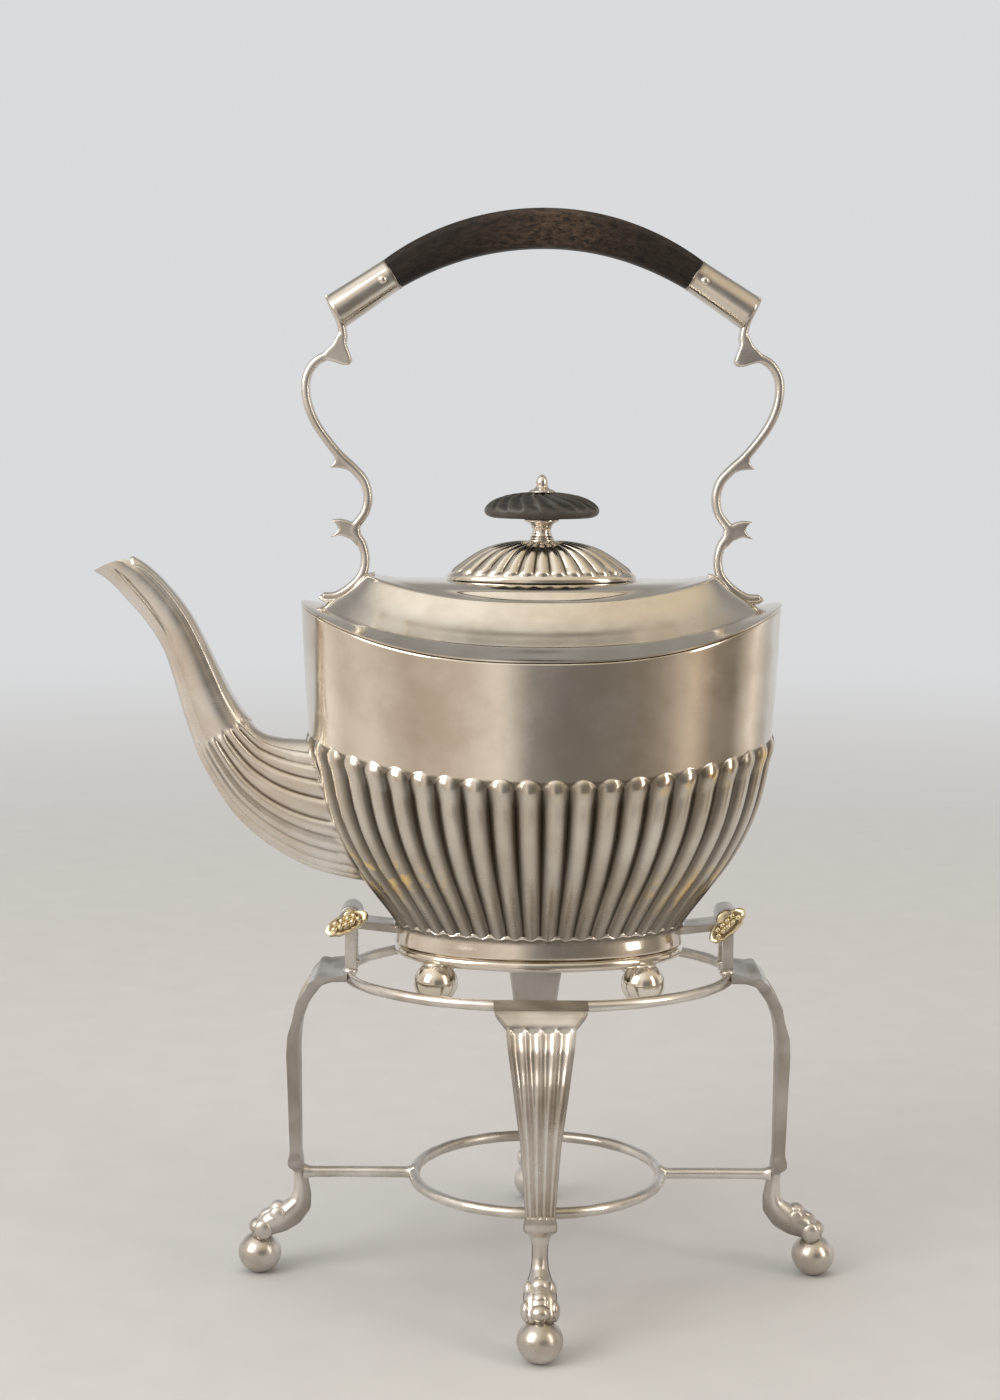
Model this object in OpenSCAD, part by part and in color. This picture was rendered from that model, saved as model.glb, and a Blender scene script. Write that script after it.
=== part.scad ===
// Spirit kettle on its stand: an oval silver-plated kettle with a fluted body, a hinged lid, a spout and
// a bail handle, carried by two drawn pins over a four-legged stand with a ring for the burner.
// Millimetres. X runs along the kettle with the spout at -X, the front faces -Y, Z is up from the table.

/* [Stand] */
// Half length of the oval top ring, to the centre of its rod
ring_half_x = 71; // [69:0.5:74]
// Half width of the oval top ring, to the centre of its rod
ring_half_y = 53; // [50:0.5:58]
// Height of the top ring above the table
ring_z = 115.8; // [108:0.2:126]
// Diameter of the top ring's rod
ring_rod = 4; // [3.4:0.1:5]
// How far the middle of each foot stands out from the top ring
leg_spread = 33; // [31:0.5:36]
// Width of a leg's cap, where it meets the top ring
leg_cap_w = 33; // [28:0.5:36]
// Width of a leg at the top of its flutes
leg_top_w = 24; // [20:0.5:27]
// Width of a leg at the foot of its flutes
leg_knee_w = 10.5; // [9:0.5:13]
// Width of a leg at the ankle
ankle_w = 5.6; // [4.6:0.2:7]
// Width of a claw
claw_w = 12.5; // [11:0.5:14]
// Hollow flutes down the face of a leg
leg_flutes = 4; // [3:1:6]
// Depth of a leg's flutes
leg_flute_depth = 1.1; // [0.5:0.1:1.6]
// Diameter of the balls under the claws
foot_ball_d = 16.2; // [14.6:0.2:17.4]
// Height worn off the underside of each ball
foot_flat = 0.5; // [0.2:0.1:1]

/* [Burner ring] */
// Radius of the burner ring, to the centre of its rod
burner_r = 46; // [38:0.5:49]
// Height of the burner ring above the table
burner_z = 38.7; // [36:0.1:40]
// Diameter of the burner ring's rod and of its four bars
burner_rod = 4.2; // [3.4:0.1:5]

/* [Pivots] */
// Height of the pins above the top ring
pin_rise = 21.2; // [19:0.1:24]
// How far the pins stand in from the ends of the top ring
pin_inset = 1.8; // [0.6:0.1:2.2]
// Diameter of the pins
pin_d = 3.8; // [3:0.1:4.4]
// Gap between a pin and its bores, on each side
pin_gap = 0.05; // [0.03:0.01:0.09]
// Diameter of the collar behind each pin's grip
collar_d = 8; // [7:0.1:9]
// Thickness of that collar
collar_t = 1.6; // [1:0.1:2.4]
// Diameter of the kettle's rolled knuckles
knuckle_d = 8.4; // [7.4:0.1:9.4]
// Width of the knuckles and of the plates that carry them
arm_w = 13; // [11:0.5:15]
// Thickness of those plates
arm_t = 2.8; // [2.4:0.1:3.2]
// Gap between a knuckle and the stand's ears
ear_gap = 0.4; // [0.3:0.1:0.8]
// Thickness of an ear
ear_t = 3; // [2.4:0.1:3.6]
// Width of the post below an ear
ear_w = 3.9; // [3.4:0.1:4.6]
// How far below the pins the plates' undersides lie, at the knuckles
arm_drop = 3.7; // [3.3:0.1:4]
// How far the plates fall from the knuckles to the kettle's foot
arm_fall = 2.2; // [1.4:0.1:3]
// How far below the pins the kettle's base wire hangs
foot_drop = 12; // [11.4:0.1:12.6]
// Length of a pin's brass grip
grip_shell_l = 16; // [13:0.5:18]

/* [Kettle body] */
// Half length of the kettle at its rim
body_half_x = 87; // [84:0.5:92]
// Half width of the kettle at its rim
body_half_y = 55; // [50:0.5:60]
// Height from the foot band to the rim, at the front
body_h = 103.5; // [98:0.5:110]
// How much higher the rim is at the spout and at the far end
rim_rise = 15.7; // [12:0.1:18]
// Height of the mouth above the rim's front
shoulder_h = 24.3; // [21:0.1:28]
// Width of the hollow cove inside the rim, along the kettle
cove_x = 24; // [22:0.5:26]
// Width of that cove across the kettle
cove_y = 25; // [23:0.5:27]
// Flutes around the body
body_flutes = 46; // [38:2:50]
// Depth of the body's flutes
body_flute_depth = 1.2; // [0.6:0.1:1.6]
// Thickness of the body's metal
wall = 1.4; // [1:0.1:2]

/* [Foot of the kettle] */
// Half length of the foot band
foot_half_x = 51.8; // [49:0.2:54]
// Half width of the foot band
foot_half_y = 33; // [30:0.5:35]
// Height of the foot band
foot_band_h = 6.5; // [5.5:0.1:8]
// Thickness of the foot band
foot_band_t = 2; // [1.4:0.1:3]
// Diameter of the wire around the base
base_wire_d = 3.6; // [3:0.1:4.2]
// Diameter of the kettle's own ball feet
kettle_ball_d = 15.4; // [13:0.2:16]
// Distance of the ball feet from the middle, along the kettle
kettle_ball_x = 37.5; // [34:0.5:40]

/* [Mouth, lid and hinge] */
// Half length of the lid
lid_half_x = 34.5; // [33:0.5:37]
// Half width of the lid
lid_half_y = 21.5; // [20.5:0.5:23.5]
// Height of the lid's dome
lid_h = 13.7; // [11:0.1:16]
// How far the lid laps over the edge of the mouth
lid_lap = 3; // [2.6:0.1:3.6]
// Gap between the closed lid and the shoulder
lid_gap = 0.4; // [0.3:0.1:0.8]
// Flutes around the lid
lid_flutes = 28; // [20:2:32]
// Depth of the lid's flutes
lid_flute_depth = 0.8; // [0.4:0.1:1.2]
// Depth of the collar that drops into the mouth
bezel_h = 4; // [3:0.1:5]
// Gap between that collar and the mouth
bezel_gap = 0.7; // [0.6:0.1:1]
// Thickness of the collar's metal
bezel_t = 1; // [0.8:0.1:1.4]
// Diameter of the lid hinge's knuckles
lid_knuckle_d = 3.8; // [3.4:0.1:4.2]
// Width of the lid hinge's middle knuckle
lid_knuckle_w = 5.8; // [4:0.1:8]
// Width of each of its outer knuckles
lid_knuckle_side_w = 3.4; // [2.4:0.1:5]
// Diameter of the lid hinge's pin
lid_pin_d = 1.6; // [1.2:0.1:2]

/* [Finial] */
// Length of the carved button
button_l = 41.7; // [34:0.1:46]
// Width of the carved button
button_w = 27; // [22:0.5:31]
// Thickness of the carved button
button_t = 9.5; // [8:0.1:12]
// Gouged lobes around the button
button_lobes = 16; // [12:2:20]
// Height of the stem under the button
stem_h = 8; // [6:0.1:12]
// Diameter of the stem's flange
stem_d = 11.7; // [10:0.1:14]
// Diameter of the finial bolt's shank
bolt_d = 3; // [2.4:0.1:3.4]
// Gap between the shank and what it passes through
bolt_gap = 0.15; // [0.05:0.05:0.3]

/* [Spout] */
// How far the lip stands out from the middle of the kettle
spout_reach = 162.5; // [155:0.5:170]
// Height of the lip above the kettle's foot band
spout_rise = 130; // [122:0.5:136]
// Half width of the spout at its root
spout_root_w = 15; // [12:0.5:17]
// Half width of the spout at its lip
spout_tip_w = 5.6; // [4.8:0.1:7]
// Thickness of the spout's metal
spout_wall = 1.2; // [0.9:0.1:1.6]

/* [Handle] */
// Height of the grip's top above the rim's ends
handle_h = 141.3; // [132:0.1:152]
// Distance from the middle to each end of the wooden grip
grip_half_l = 53.8; // [50:0.1:58]
// Slope of the grip and ferrules where they meet
ferrule_slope = 33.4; // [28:0.2:37]
// Thickness of the grip in the middle
grip_t = 14.5; // [12.5:0.1:17]
// Diameter of a ferrule at the grip
ferrule_d = 11.8; // [11:0.1:13]
// Diameter of a ferrule at its outer end
ferrule_end_d = 13; // [12:0.1:15]
// Length of a ferrule
ferrule_l = 23; // [18:0.5:27]
// Thickness of a ferrule's metal
ferrule_wall = 1; // [0.7:0.1:1.5]
// Thickness of the scrolled arms, seen from the front
scroll_t = 3.2; // [2.6:0.1:4]
// Depth of the scrolled arms, front to back
scroll_depth = 5.6; // [4.6:0.1:7]
// Width of the strap under each scroll's foot
saddle_w = 8; // [6:0.5:11]
// Thickness of that strap
saddle_t = 1.8; // [1.4:0.1:2.6]
// Diameter of the rivets through the ferrules
rivet_d = 1.8; // [1.4:0.1:2.4]
// Diameter of the rivets' heads
rivet_head_d = 3; // [2.6:0.1:3.8]

/* [Hidden] */

silver = "#c8beab";
brass = "#c9a84e";
blackwood = "#3a2a20";

bore_fn = 48;
ball_fn = 48;
rod_sides = 8;

// How far a piece is sunk into the one it is soldered to
sunk = 0.4;
// Solder between the base wire and the foot band
solder = 0.2;

// Heights that follow from the stand
ball_z = foot_ball_d / 2 - foot_flat;
pivot_z = ring_z + pin_rise;
pivot_x = ring_half_x - pin_inset;
pin_r = pin_d / 2;
bore_r = pin_r + pin_gap;

// Heights that follow from the pivots: the kettle's foot hangs just below the pins
base_wire_z = pivot_z - foot_drop;
foot_z = base_wire_z + base_wire_d / 2 + solder;
body_z = foot_z + foot_band_h;
rim_z = body_z + body_h;
mouth_z = rim_z + shoulder_h;

// Points around an oval
function oval(a, b, t) = [a * cos(t), b * sin(t)];
function oval_out(a, b, t) = let (v = [cos(t) / a, sin(t) / b]) v / norm(v);

// Angles that cut an oval into n equal lengths, counted from +X
function oval_step(a, b, t) = norm(oval(a, b, t + 1) - oval(a, b, t));
function oval_run(a, b) =
    [for (t = 0, s = 0; t <= 360; s = s + oval_step(a, b, t), t = t + 1) [s, t]];
function even_angles(a, b, n) =
    let (run = oval_run(a, b), whole = run[360][0])
    [for (j = [0 : n - 1]) lookup(whole * j / n, run)];

// One ring of a raised shape. row is half length, half width, height at the front, rise at the ends,
// flute depth; every second point is a flute's hollow.
rise_power = 2.6;
function raised_ring(row, angles, inset = 0) =
    [for (j = [0 : len(angles) - 1])
        let (t = angles[j], p = oval(row[0], row[1], t), n = oval_out(row[0], row[1], t),
            d = inset + (j % 2 == 1 ? row[4] : 0))
        [p[0] - n[0] * d, p[1] - n[1] * d, row[2] + row[3] * pow(abs(cos(t)), rise_power)]];

// The middle of the box that holds a ring of points
function middle(ring) =
    [for (k = [0 : 2]) let (v = [for (p = ring) p[k]]) (min(v) + max(v)) / 2];

// Joins rings of equally many points into one closed solid, capped at both ends or joined end to end
module loft(rings, looped = false) {
    n = len(rings[0]);
    m = len(rings);
    sides = [for (i = [0 : looped ? m - 1 : m - 2]) for (j = [0 : n - 1])
        let (a = i * n, b = ((i + 1) % m) * n, k = (j + 1) % n)
        each [[a + j, b + j, b + k], [a + j, b + k, a + k]]];
    low = m * n;
    caps = looped ? [] : [for (j = [0 : n - 1]) let (k = (j + 1) % n, top = (m - 1) * n)
        each [[low, j, k], [low + 1, top + k, top + j]]];
    middles = looped ? [] : [middle(rings[0]), middle(rings[m - 1])];
    points = concat([for (r = rings) each r], middles);
    polyhedron(points = points, faces = concat(sides, caps), convexity = 10);
}

// A round rod bent into a level oval
module oval_rod(a, b, z, rod, steps) {
    loft([for (i = [0 : steps - 1])
        let (t = 360 * i / steps, p = oval(a, b, t), n = oval_out(a, b, t))
        [for (k = [0 : rod_sides - 1])
            let (u = 360 * (k + 0.5) / rod_sides, r = rod / 2 / cos(180 / rod_sides))
            [p[0] + n[0] * r * cos(u), p[1] + n[1] * r * cos(u), z - r * sin(u)]]], looped = true);
}

// A cylinder along Y from y0 to y1
module rod_y(r, x, z, y0, y1) {
    translate([x, y1, z]) rotate([90, 0, 0]) cylinder(r = r, h = y1 - y0, $fn = bore_fn);
}

// A cylinder along X from x0 to x1
module rod_x(r, y, z, x0, x1) {
    translate([x0, y, z]) rotate([0, 90, 0]) cylinder(r = r, h = x1 - x0, $fn = bore_fn);
}

// Stand

module top_ring() {
    color(silver) oval_rod(ring_half_x, ring_half_y, ring_z, ring_rod, 56);
}

// Sections of a leg in its own plane: outer point, inner point, width, share of the flute depth.
// The upper ones hang from the top ring, the lower ones stand over the ball.
function shaft_w(share) = leg_knee_w + (leg_top_w - leg_knee_w) * share;
function leg_rows(r) = let (f = r + leg_spread) [
    [[r - 1, ring_z + 2.2], [r - 1, ring_z - 1.2], leg_cap_w, 0],
    [[r + 4, ring_z + 1.4], [r + 4.6, ring_z - 1.1], leg_cap_w, 0],
    [[r + 9.5, ring_z + 1.7], [r + 8.2, ring_z - 2.6], leg_cap_w, 0],
    [[r + 12, ring_z - 0.6], [r + 9.6, ring_z - 4.6], 0.6 * leg_cap_w + 0.4 * leg_top_w, 0],
    [[r + 14.2, ring_z - 3], [r + 10.9, ring_z - 6.5], leg_top_w + 1.6, 0],
    [[r + 13.8, ring_z - 3.6], [r + 11.4, ring_z - 7.2], leg_top_w, 0],
    [[r + 16.4, ring_z - 7.2], [r + 13.2, ring_z - 9.8], shaft_w(0.91), 1],
    [[r + 18.3, ring_z - 10.3], [r + 14.5, ring_z - 13], shaft_w(0.84), 1],
    [[r + 19.7, ring_z - 17.1], [r + 16.3, ring_z - 18], shaft_w(0.7), 1],
    [[r + 21.4, ring_z - 22.3], [r + 17, ring_z - 23.5], shaft_w(0.57), 1],
    [[r + 22, ring_z - 29.8], [r + 17.4, ring_z - 29.8], shaft_w(0.42), 1],
    [[f - 11.3, 72.5], [f - 15.8, 72.5], shaft_w(0.2), 1],
    [[f - 11.8, 49], [f - 16, 49], leg_knee_w, 1],
    [[f - 11, 47], [f - 16.3, 47], leg_knee_w + 1, 0],
    [[f - 11, 43], [f - 16.7, 43], leg_knee_w + 1, 0],
    [[f - 12.2, 41], [f - 17, 41], (leg_knee_w + ankle_w) / 2, 0],
    [[f - 12.8, 34], [f - 19.6, 33], ankle_w, 0],
    [[f - 11.6, 28.5], [f - 19, 24.5], ankle_w + 0.6, 0],
    [[f - 8, 26], [f - 14.6, ball_z + 10.4], (ankle_w + claw_w) / 2, 0],
    [[f - 2, ball_z + 17.2], [f - 6, ball_z + 6.6], claw_w, 0],
    [[f + 2.6, ball_z + 12.6], [f - 1.5, ball_z + 6.2], claw_w - 1, 0],
    [[f + 3.2, ball_z + 7.4], [f + 1.5, ball_z + 5.6], claw_w - 4, 0]
];

// A cast leg that stands out along +X from a ring whose edge is r from the middle
module leg(r) {
    loft([for (row = leg_rows(r))
        let (o = row[0], i = row[1], w = row[2], steps = 2 * leg_flutes,
            deep = row[3] * leg_flute_depth / norm(o - i))
        concat(
            [for (k = [0 : steps])
                let (p = o + (i - o) * (k % 2 == 1 ? deep : 0))
                [p[0], w * (0.5 - k / steps), p[1]]],
            [[i[0], -0.44 * w, i[1]], [i[0], 0.44 * w, i[1]]])]);
}

module leg_front() {
    color(silver) rotate(-90) leg(ring_half_y);
}

module leg_back() {
    color(silver) rotate(90) leg(ring_half_y);
}

module leg_left() {
    color(silver) rotate(180) leg(ring_half_x);
}

module leg_right() {
    color(silver) leg(ring_half_x);
}

module stand_ball_feet() {
    color(silver)
    for (q = [0 : 3]) {
        r = (q % 2 == 0 ? ring_half_x : ring_half_y) + leg_spread;
        rotate(90 * q) translate([r, 0, 0]) intersection() {
            translate([0, 0, ball_z]) sphere(d = foot_ball_d, $fn = ball_fn);
            translate([0, 0, foot_ball_d]) cube(2 * foot_ball_d, center = true);
        }
    }
}

module burner_ring() {
    color(silver) translate([0, 0, burner_z]) rotate_extrude($fn = 96)
        translate([burner_r, 0]) circle(d = burner_rod, $fn = 32);
}

module burner_bars() {
    color(silver)
    for (q = [0 : 3]) {
        r = (q % 2 == 0 ? ring_half_x : ring_half_y) + leg_spread - 15;
        rotate(90 * q) rod_x(burner_rod / 2, 0, burner_z, burner_r, r);
    }
}

// Pivots

ear_y0 = arm_w / 2 + ear_gap;
ear_y1 = ear_y0 + ear_t;
ear_r = collar_d / 2;

// A pair of posts with an eye on top, one before and one behind the knuckle
module ear_pair(x) {
    for (s = [-1, 1]) {
        y0 = s < 0 ? -ear_y1 : ear_y0;
        translate([x - ear_w / 2, y0, ring_z - 1]) cube([ear_w, ear_t, pin_rise + 1]);
        rod_y(ear_r, x, pivot_z, y0, y0 + ear_t);
    }
}

module pivot_ears() {
    color(silver) difference() {
        ear_pair(-pivot_x);
        rod_y(bore_r, -pivot_x, pivot_z, -ear_y1 - 1, ear_y1 + 1);
    }
}

// The far pair is open above, so the pin lifts out of it
saddle_slack = 0.12;
module rest_ears() {
    slot_r = pin_r + saddle_slack;
    color(silver) difference() {
        ear_pair(pivot_x);
        rod_y(slot_r, pivot_x, pivot_z, -ear_y1 - 1, ear_y1 + 1);
        translate([pivot_x - slot_r, -ear_y1 - 1, pivot_z]) cube([2 * slot_r, 2 * ear_y1 + 2, ear_r + 1]);
    }
}

collar_y = ear_y1 + 0.3;
pin_tail = 1.4;
module drawn_pin(x) {
    rod_y(pin_r, x, pivot_z, -collar_y - 0.5, ear_y1 + pin_tail);
    rod_y(collar_d / 2, x, pivot_z, -collar_y - collar_t, -collar_y);
}

module pivot_pin() {
    color(silver) drawn_pin(-pivot_x);
}

module rest_pin() {
    color(silver) drawn_pin(pivot_x);
}

// A brass shell on the front of a pin: a leaf with two rows of beads, turned by angle
bead_r = 1.3;
leaf_t = 2.2;
leaf_w = 5;
module pin_grip(x, angle) {
    y = -collar_y - collar_t;
    rows = floor((grip_shell_l - leaf_w) / 2 / (2 * bead_r));
    translate([x, y, pivot_z]) rotate([90, angle, 0]) {
        linear_extrude(leaf_t) hull() {
            for (s = [-1, 1]) translate([s * (grip_shell_l - leaf_w) / 2, 0]) circle(d = leaf_w, $fn = 32);
        }
        for (k = [-rows : rows]) for (s = [-1, 1])
            translate([k * 2 * bead_r, s * leaf_w / 4, leaf_t]) sphere(r = bead_r, $fn = 24);
    }
}

module pivot_pin_grip() {
    color(brass) pin_grip(-pivot_x - 1, -25);
}

module rest_pin_grip() {
    color(brass) pin_grip(pivot_x - 0.5, -42);
}

// Kettle

body_angles = even_angles(body_half_x, body_half_y, 2 * body_flutes);
foot_grow = [body_half_x - foot_half_x, body_half_y - foot_half_y];

// Rows of the body: share of the way out from foot to rim, height at the front, rise, flute depth
function body_row(out, z, rise, flute) =
    [foot_half_x + 0.2 + foot_grow[0] * out, foot_half_y + 0.2 + foot_grow[1] * out, z, rise, flute];
flute_top = body_z + body_h * 0.6;
body_rows = [
    body_row(0, body_z, 0, 0),
    body_row(0.085, body_z + 4.5, 0, body_flute_depth * 0.8),
    body_row(0.28, body_z + 13.5, 0, body_flute_depth),
    body_row(0.57, body_z + 27.5, 0.04 * rim_rise, body_flute_depth),
    body_row(0.79, body_z + 42, 0.19 * rim_rise, body_flute_depth),
    body_row(0.905, flute_top - 6, 0.5 * rim_rise, body_flute_depth),
    body_row(0.93, flute_top, 0.62 * rim_rise, body_flute_depth * 0.5),
    body_row(0.935, flute_top + 3, 0.66 * rim_rise, 0),
    body_row(0.97, flute_top + 20, 0.82 * rim_rise, 0),
    body_row(0.995, rim_z - wall, rim_rise, 0)
];

// The same rows inside the metal, as a smooth wall
function inner_row(row) = [row[0], row[1], row[2], row[3], 0];
body_inside = [for (i = [len(body_rows) - 1 : -1 : 1]) inner_row(body_rows[i])];

spout_hole_r = 9;
spout_hole_z = body_z + 0.406 * body_h;

module kettle_body() {
    color(silver) difference() {
        loft(concat(
            [for (row = body_rows) raised_ring(row, body_angles)],
            [for (row = body_inside) raised_ring(row, body_angles, wall + body_flute_depth)],
            [raised_ring(body_row(0, body_z + wall, 0, 0), body_angles, wall + body_flute_depth)]));
        rod_x(spout_hole_r, 0, spout_hole_z, -body_half_x - 5, -foot_half_x);
    }
}

// Rows of the shoulder from the rim to the mouth: half length, half width, height, rise at the ends
mouth_half_x = lid_half_x - lid_lap;
mouth_half_y = lid_half_y - lid_lap;
function shoulder_row(a, b, up, rise) = [a, b, rim_z + shoulder_h * up, rim_rise * rise, 0];
function cove_row(in_x, in_y, up, rise) =
    shoulder_row(body_half_x - cove_x * in_x, body_half_y - cove_y * in_y, up, rise);
shoulder_top = [
    cove_row(0, 0, 0, 1),
    cove_row(0.333, 0.34, 0.177, 0.65),
    cove_row(0.562, 0.54, 0.263, 0.65),
    cove_row(0.75, 0.72, 0.403, 0.618),
    cove_row(0.896, 0.88, 0.593, 0.58),
    cove_row(1, 1, 0.741, 0.49),
    shoulder_row(mouth_half_x + 16, mouth_half_y + 8, 0.897, 0.172),
    shoulder_row(mouth_half_x + 2, mouth_half_y + 2, 1, 0),
    shoulder_row(mouth_half_x, mouth_half_y, 1, 0)
];
function lowered(row, dz, inset) = [row[0] - inset, row[1] - inset, row[2] - dz, row[3], 0];

module shoulder() {
    last = len(shoulder_top) - 1;
    color(silver) loft(concat(
        [raised_ring(body_rows[9], body_angles)],
        [for (row = shoulder_top) raised_ring(row, body_angles)],
        [raised_ring(lowered(shoulder_top[last], wall, 0), body_angles)],
        [for (i = [last - 2 : -1 : 1]) raised_ring(lowered(shoulder_top[i], wall, 0.6), body_angles)],
        [raised_ring(lowered(shoulder_top[0], wall, 1.6), body_angles)]), looped = true);
}

foot_steps = 48;
foot_angles = [for (j = [0 : foot_steps - 1]) 360 * j / foot_steps];
module foot_band() {
    a = foot_half_x;
    b = foot_half_y;
    color(silver) loft([
        raised_ring([a, b, foot_z, 0, 0], foot_angles),
        raised_ring([a - 0.6, b - 0.6, foot_z + 0.6 * foot_band_h, 0, 0], foot_angles),
        raised_ring([a, b, body_z, 0, 0], foot_angles),
        raised_ring([a - foot_band_t, b - foot_band_t, body_z, 0, 0], foot_angles),
        raised_ring([a - foot_band_t, b - foot_band_t, foot_z, 0, 0], foot_angles)], looped = true);
}

wire_half_x = foot_half_x - 0.8;
wire_half_y = foot_half_y - 0.8;
module base_wire() {
    color(silver) oval_rod(wire_half_x, wire_half_y, base_wire_z, base_wire_d, foot_steps);
}

module kettle_ball_feet() {
    ball_y = wire_half_y * sqrt(1 - pow(kettle_ball_x / wire_half_x, 2));
    ball_top = base_wire_z - base_wire_d / 2 + 3 * sunk;
    color(silver) for (sx = [-1, 1]) for (sy = [-1, 1])
        translate([sx * kettle_ball_x, sy * ball_y, ball_top - kettle_ball_d / 2])
            sphere(d = kettle_ball_d, $fn = ball_fn);
}

// A plate soldered to the foot, rolled into a knuckle at its outer end
module hinge_arm() {
    inner = foot_half_x - 0.7 * foot_band_t;
    outer_z = pivot_z - arm_drop;
    inner_z = outer_z - arm_fall;
    difference() {
        union() {
            rod_y(knuckle_d / 2, pivot_x, pivot_z, -arm_w / 2, arm_w / 2);
            rotate([90, 0, 0]) linear_extrude(arm_w, center = true) polygon([
                [inner, inner_z], [pivot_x, outer_z],
                [pivot_x, outer_z + arm_t], [inner, inner_z + arm_t]]);
        }
        rod_y(bore_r, pivot_x, pivot_z, -arm_w, arm_w);
    }
}

module pivot_arm() {
    color(silver) mirror([1, 0, 0]) hinge_arm();
}

module rest_arm() {
    color(silver) hinge_arm();
}

// Spout

// Upper and lower outline of the spout seen from the front, from lip to root, as shares of the way from
// the root out to the lip and up from the foot band, with the half width as a share from lip to root
root_x = 0.759 * body_half_x;
spout_rows = [
    [[0.854, 1.031], [1, 1], 0],
    [[0.767, 0.988], [0.874, 0.92], 0.03],
    [[0.708, 0.94], [0.803, 0.864], 0.07],
    [[0.648, 0.885], [0.742, 0.788], 0.12],
    [[0.589, 0.806], [0.704, 0.701], 0.18],
    [[0.537, 0.727], [0.67, 0.611], 0.26],
    [[0.477, 0.645], [0.627, 0.514], 0.36],
    [[0.418, 0.586], [0.575, 0.435], 0.48],
    [[0.342, 0.549], [0.474, 0.318], 0.66],
    [[0.259, 0.541], [0.321, 0.217], 0.85]
];
spout_sides = 20;
end_profile = [for (row = body_rows) [row[2] + row[3], row[0]]];
width_profile = [for (row = body_rows) [row[2] + row[3], row[1]]];

// Half length of the body at height z, at a distance y from the middle
function body_edge(z, y) = lookup(z, end_profile) * sqrt(1 - pow(y / lookup(z, width_profile), 2));

function spout_point(p) = [-root_x - (spout_reach - root_x) * p[0], body_z + spout_rise * p[1]];
function spout_ring(row, inset) =
    let (top = spout_point(row[0]), low = spout_point(row[1]),
        mid = (top + low) / 2, up = (top - low) / 2, tall = norm(up),
        wide = spout_tip_w + (spout_root_w - spout_tip_w) * row[2])
    [for (k = [0 : spout_sides - 1])
        let (t = 360 * k / spout_sides, q = mid + up * (1 - inset / tall) * cos(t))
        [q[0], -(wide - inset) * sin(t), q[1]]];

// The root follows the body's side, sunk a little into the metal
root_top_z = body_z + 0.676 * body_h;
root_low_z = body_z + 0.16 * body_h;
function spout_root(inset) =
    [for (k = [0 : spout_sides - 1])
        let (t = 360 * k / spout_sides, y = -(spout_root_w - inset) * sin(t),
            z = (root_top_z + root_low_z) / 2 + ((root_top_z - root_low_z) / 2 - inset) * cos(t))
        [-body_edge(z, y) + 0.5 * wall, y, z]];

module spout() {
    rows = len(spout_rows);
    color(silver) loft(concat(
        [for (i = [0 : rows - 1]) spout_ring(spout_rows[i], 0)],
        [spout_root(0), spout_root(spout_wall)],
        [for (i = [rows - 1 : -1 : 0]) spout_ring(spout_rows[i], spout_wall)]), looped = true);
}

// Handle

grip_r = grip_half_l / sin(ferrule_slope);
grip_top_z = rim_z + rim_rise + handle_h;
grip_mid_z = grip_top_z - grip_t / 2;
grip_end = [grip_half_l, grip_mid_z - grip_r * (1 - cos(ferrule_slope))];
ferrule_dir = [cos(ferrule_slope), -sin(ferrule_slope)];
ferrule_end = grip_end + ferrule_dir * ferrule_l;

// Puts its children's Z along the right ferrule, from the grip outward
module along_ferrule() {
    translate([grip_end[0], 0, grip_end[1]]) rotate([0, 90 + ferrule_slope, 0]) children();
}

rivet_step = 4;
tenon_l = 14;
end_cap_t = 1.2;
tenon_r = ferrule_d / 2 - ferrule_wall;

module rivet_bores(r) {
    p = grip_end + ferrule_dir * rivet_step;
    for (s = [-1, 1]) rod_y(r, s * p[0], p[1], -ferrule_end_d, ferrule_end_d);
}

module right_ferrule() {
    along_ferrule() rotate_extrude($fn = bore_fn) polygon([
        [tenon_r, 0], [ferrule_d / 2, 0], [ferrule_end_d / 2, ferrule_l],
        [ferrule_end_d / 2 - ferrule_wall, ferrule_l], [tenon_r, tenon_l]]);
}

module ferrule_right() {
    color(silver) difference() {
        right_ferrule();
        rivet_bores(rivet_d / 2);
    }
}

module ferrule_left() {
    color(silver) difference() {
        mirror([1, 0, 0]) right_ferrule();
        rivet_bores(rivet_d / 2);
    }
}

grip_steps = 18;
grip_sides = 12;
module handle_grip() {
    color(blackwood) difference() {
        union() {
            loft([for (i = [0 : grip_steps])
                let (t = ferrule_slope * (1 - 2 * i / grip_steps),
                    swell = pow(cos(90 * t / ferrule_slope), 0.8),
                    h = (ferrule_d + (grip_t - ferrule_d) * swell) / 2)
                [for (k = [0 : grip_sides - 1])
                    let (u = 360 * k / grip_sides, r = grip_r + h * cos(u))
                    [r * sin(t), h * sin(u), grip_mid_z - grip_r + r * cos(t)]]]);
            for (s = [0, 1]) mirror([s, 0, 0]) along_ferrule()
                translate([0, 0, -sunk]) cylinder(r = tenon_r, h = tenon_l + sunk, $fn = bore_fn);
        }
        rivet_bores(rivet_d / 2);
    }
}

module grip_rivets() {
    p = grip_end + ferrule_dir * rivet_step;
    head_y = ferrule_d / 2 + 0.3;
    color(silver) for (s = [-1, 1]) {
        rod_y(rivet_d / 2, s * p[0], p[1], -head_y, head_y);
        for (f = [-1, 1]) translate([s * p[0], f * head_y, p[1]])
            sphere(d = rivet_head_d * 0.8, $fn = 32);
    }
}

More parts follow.
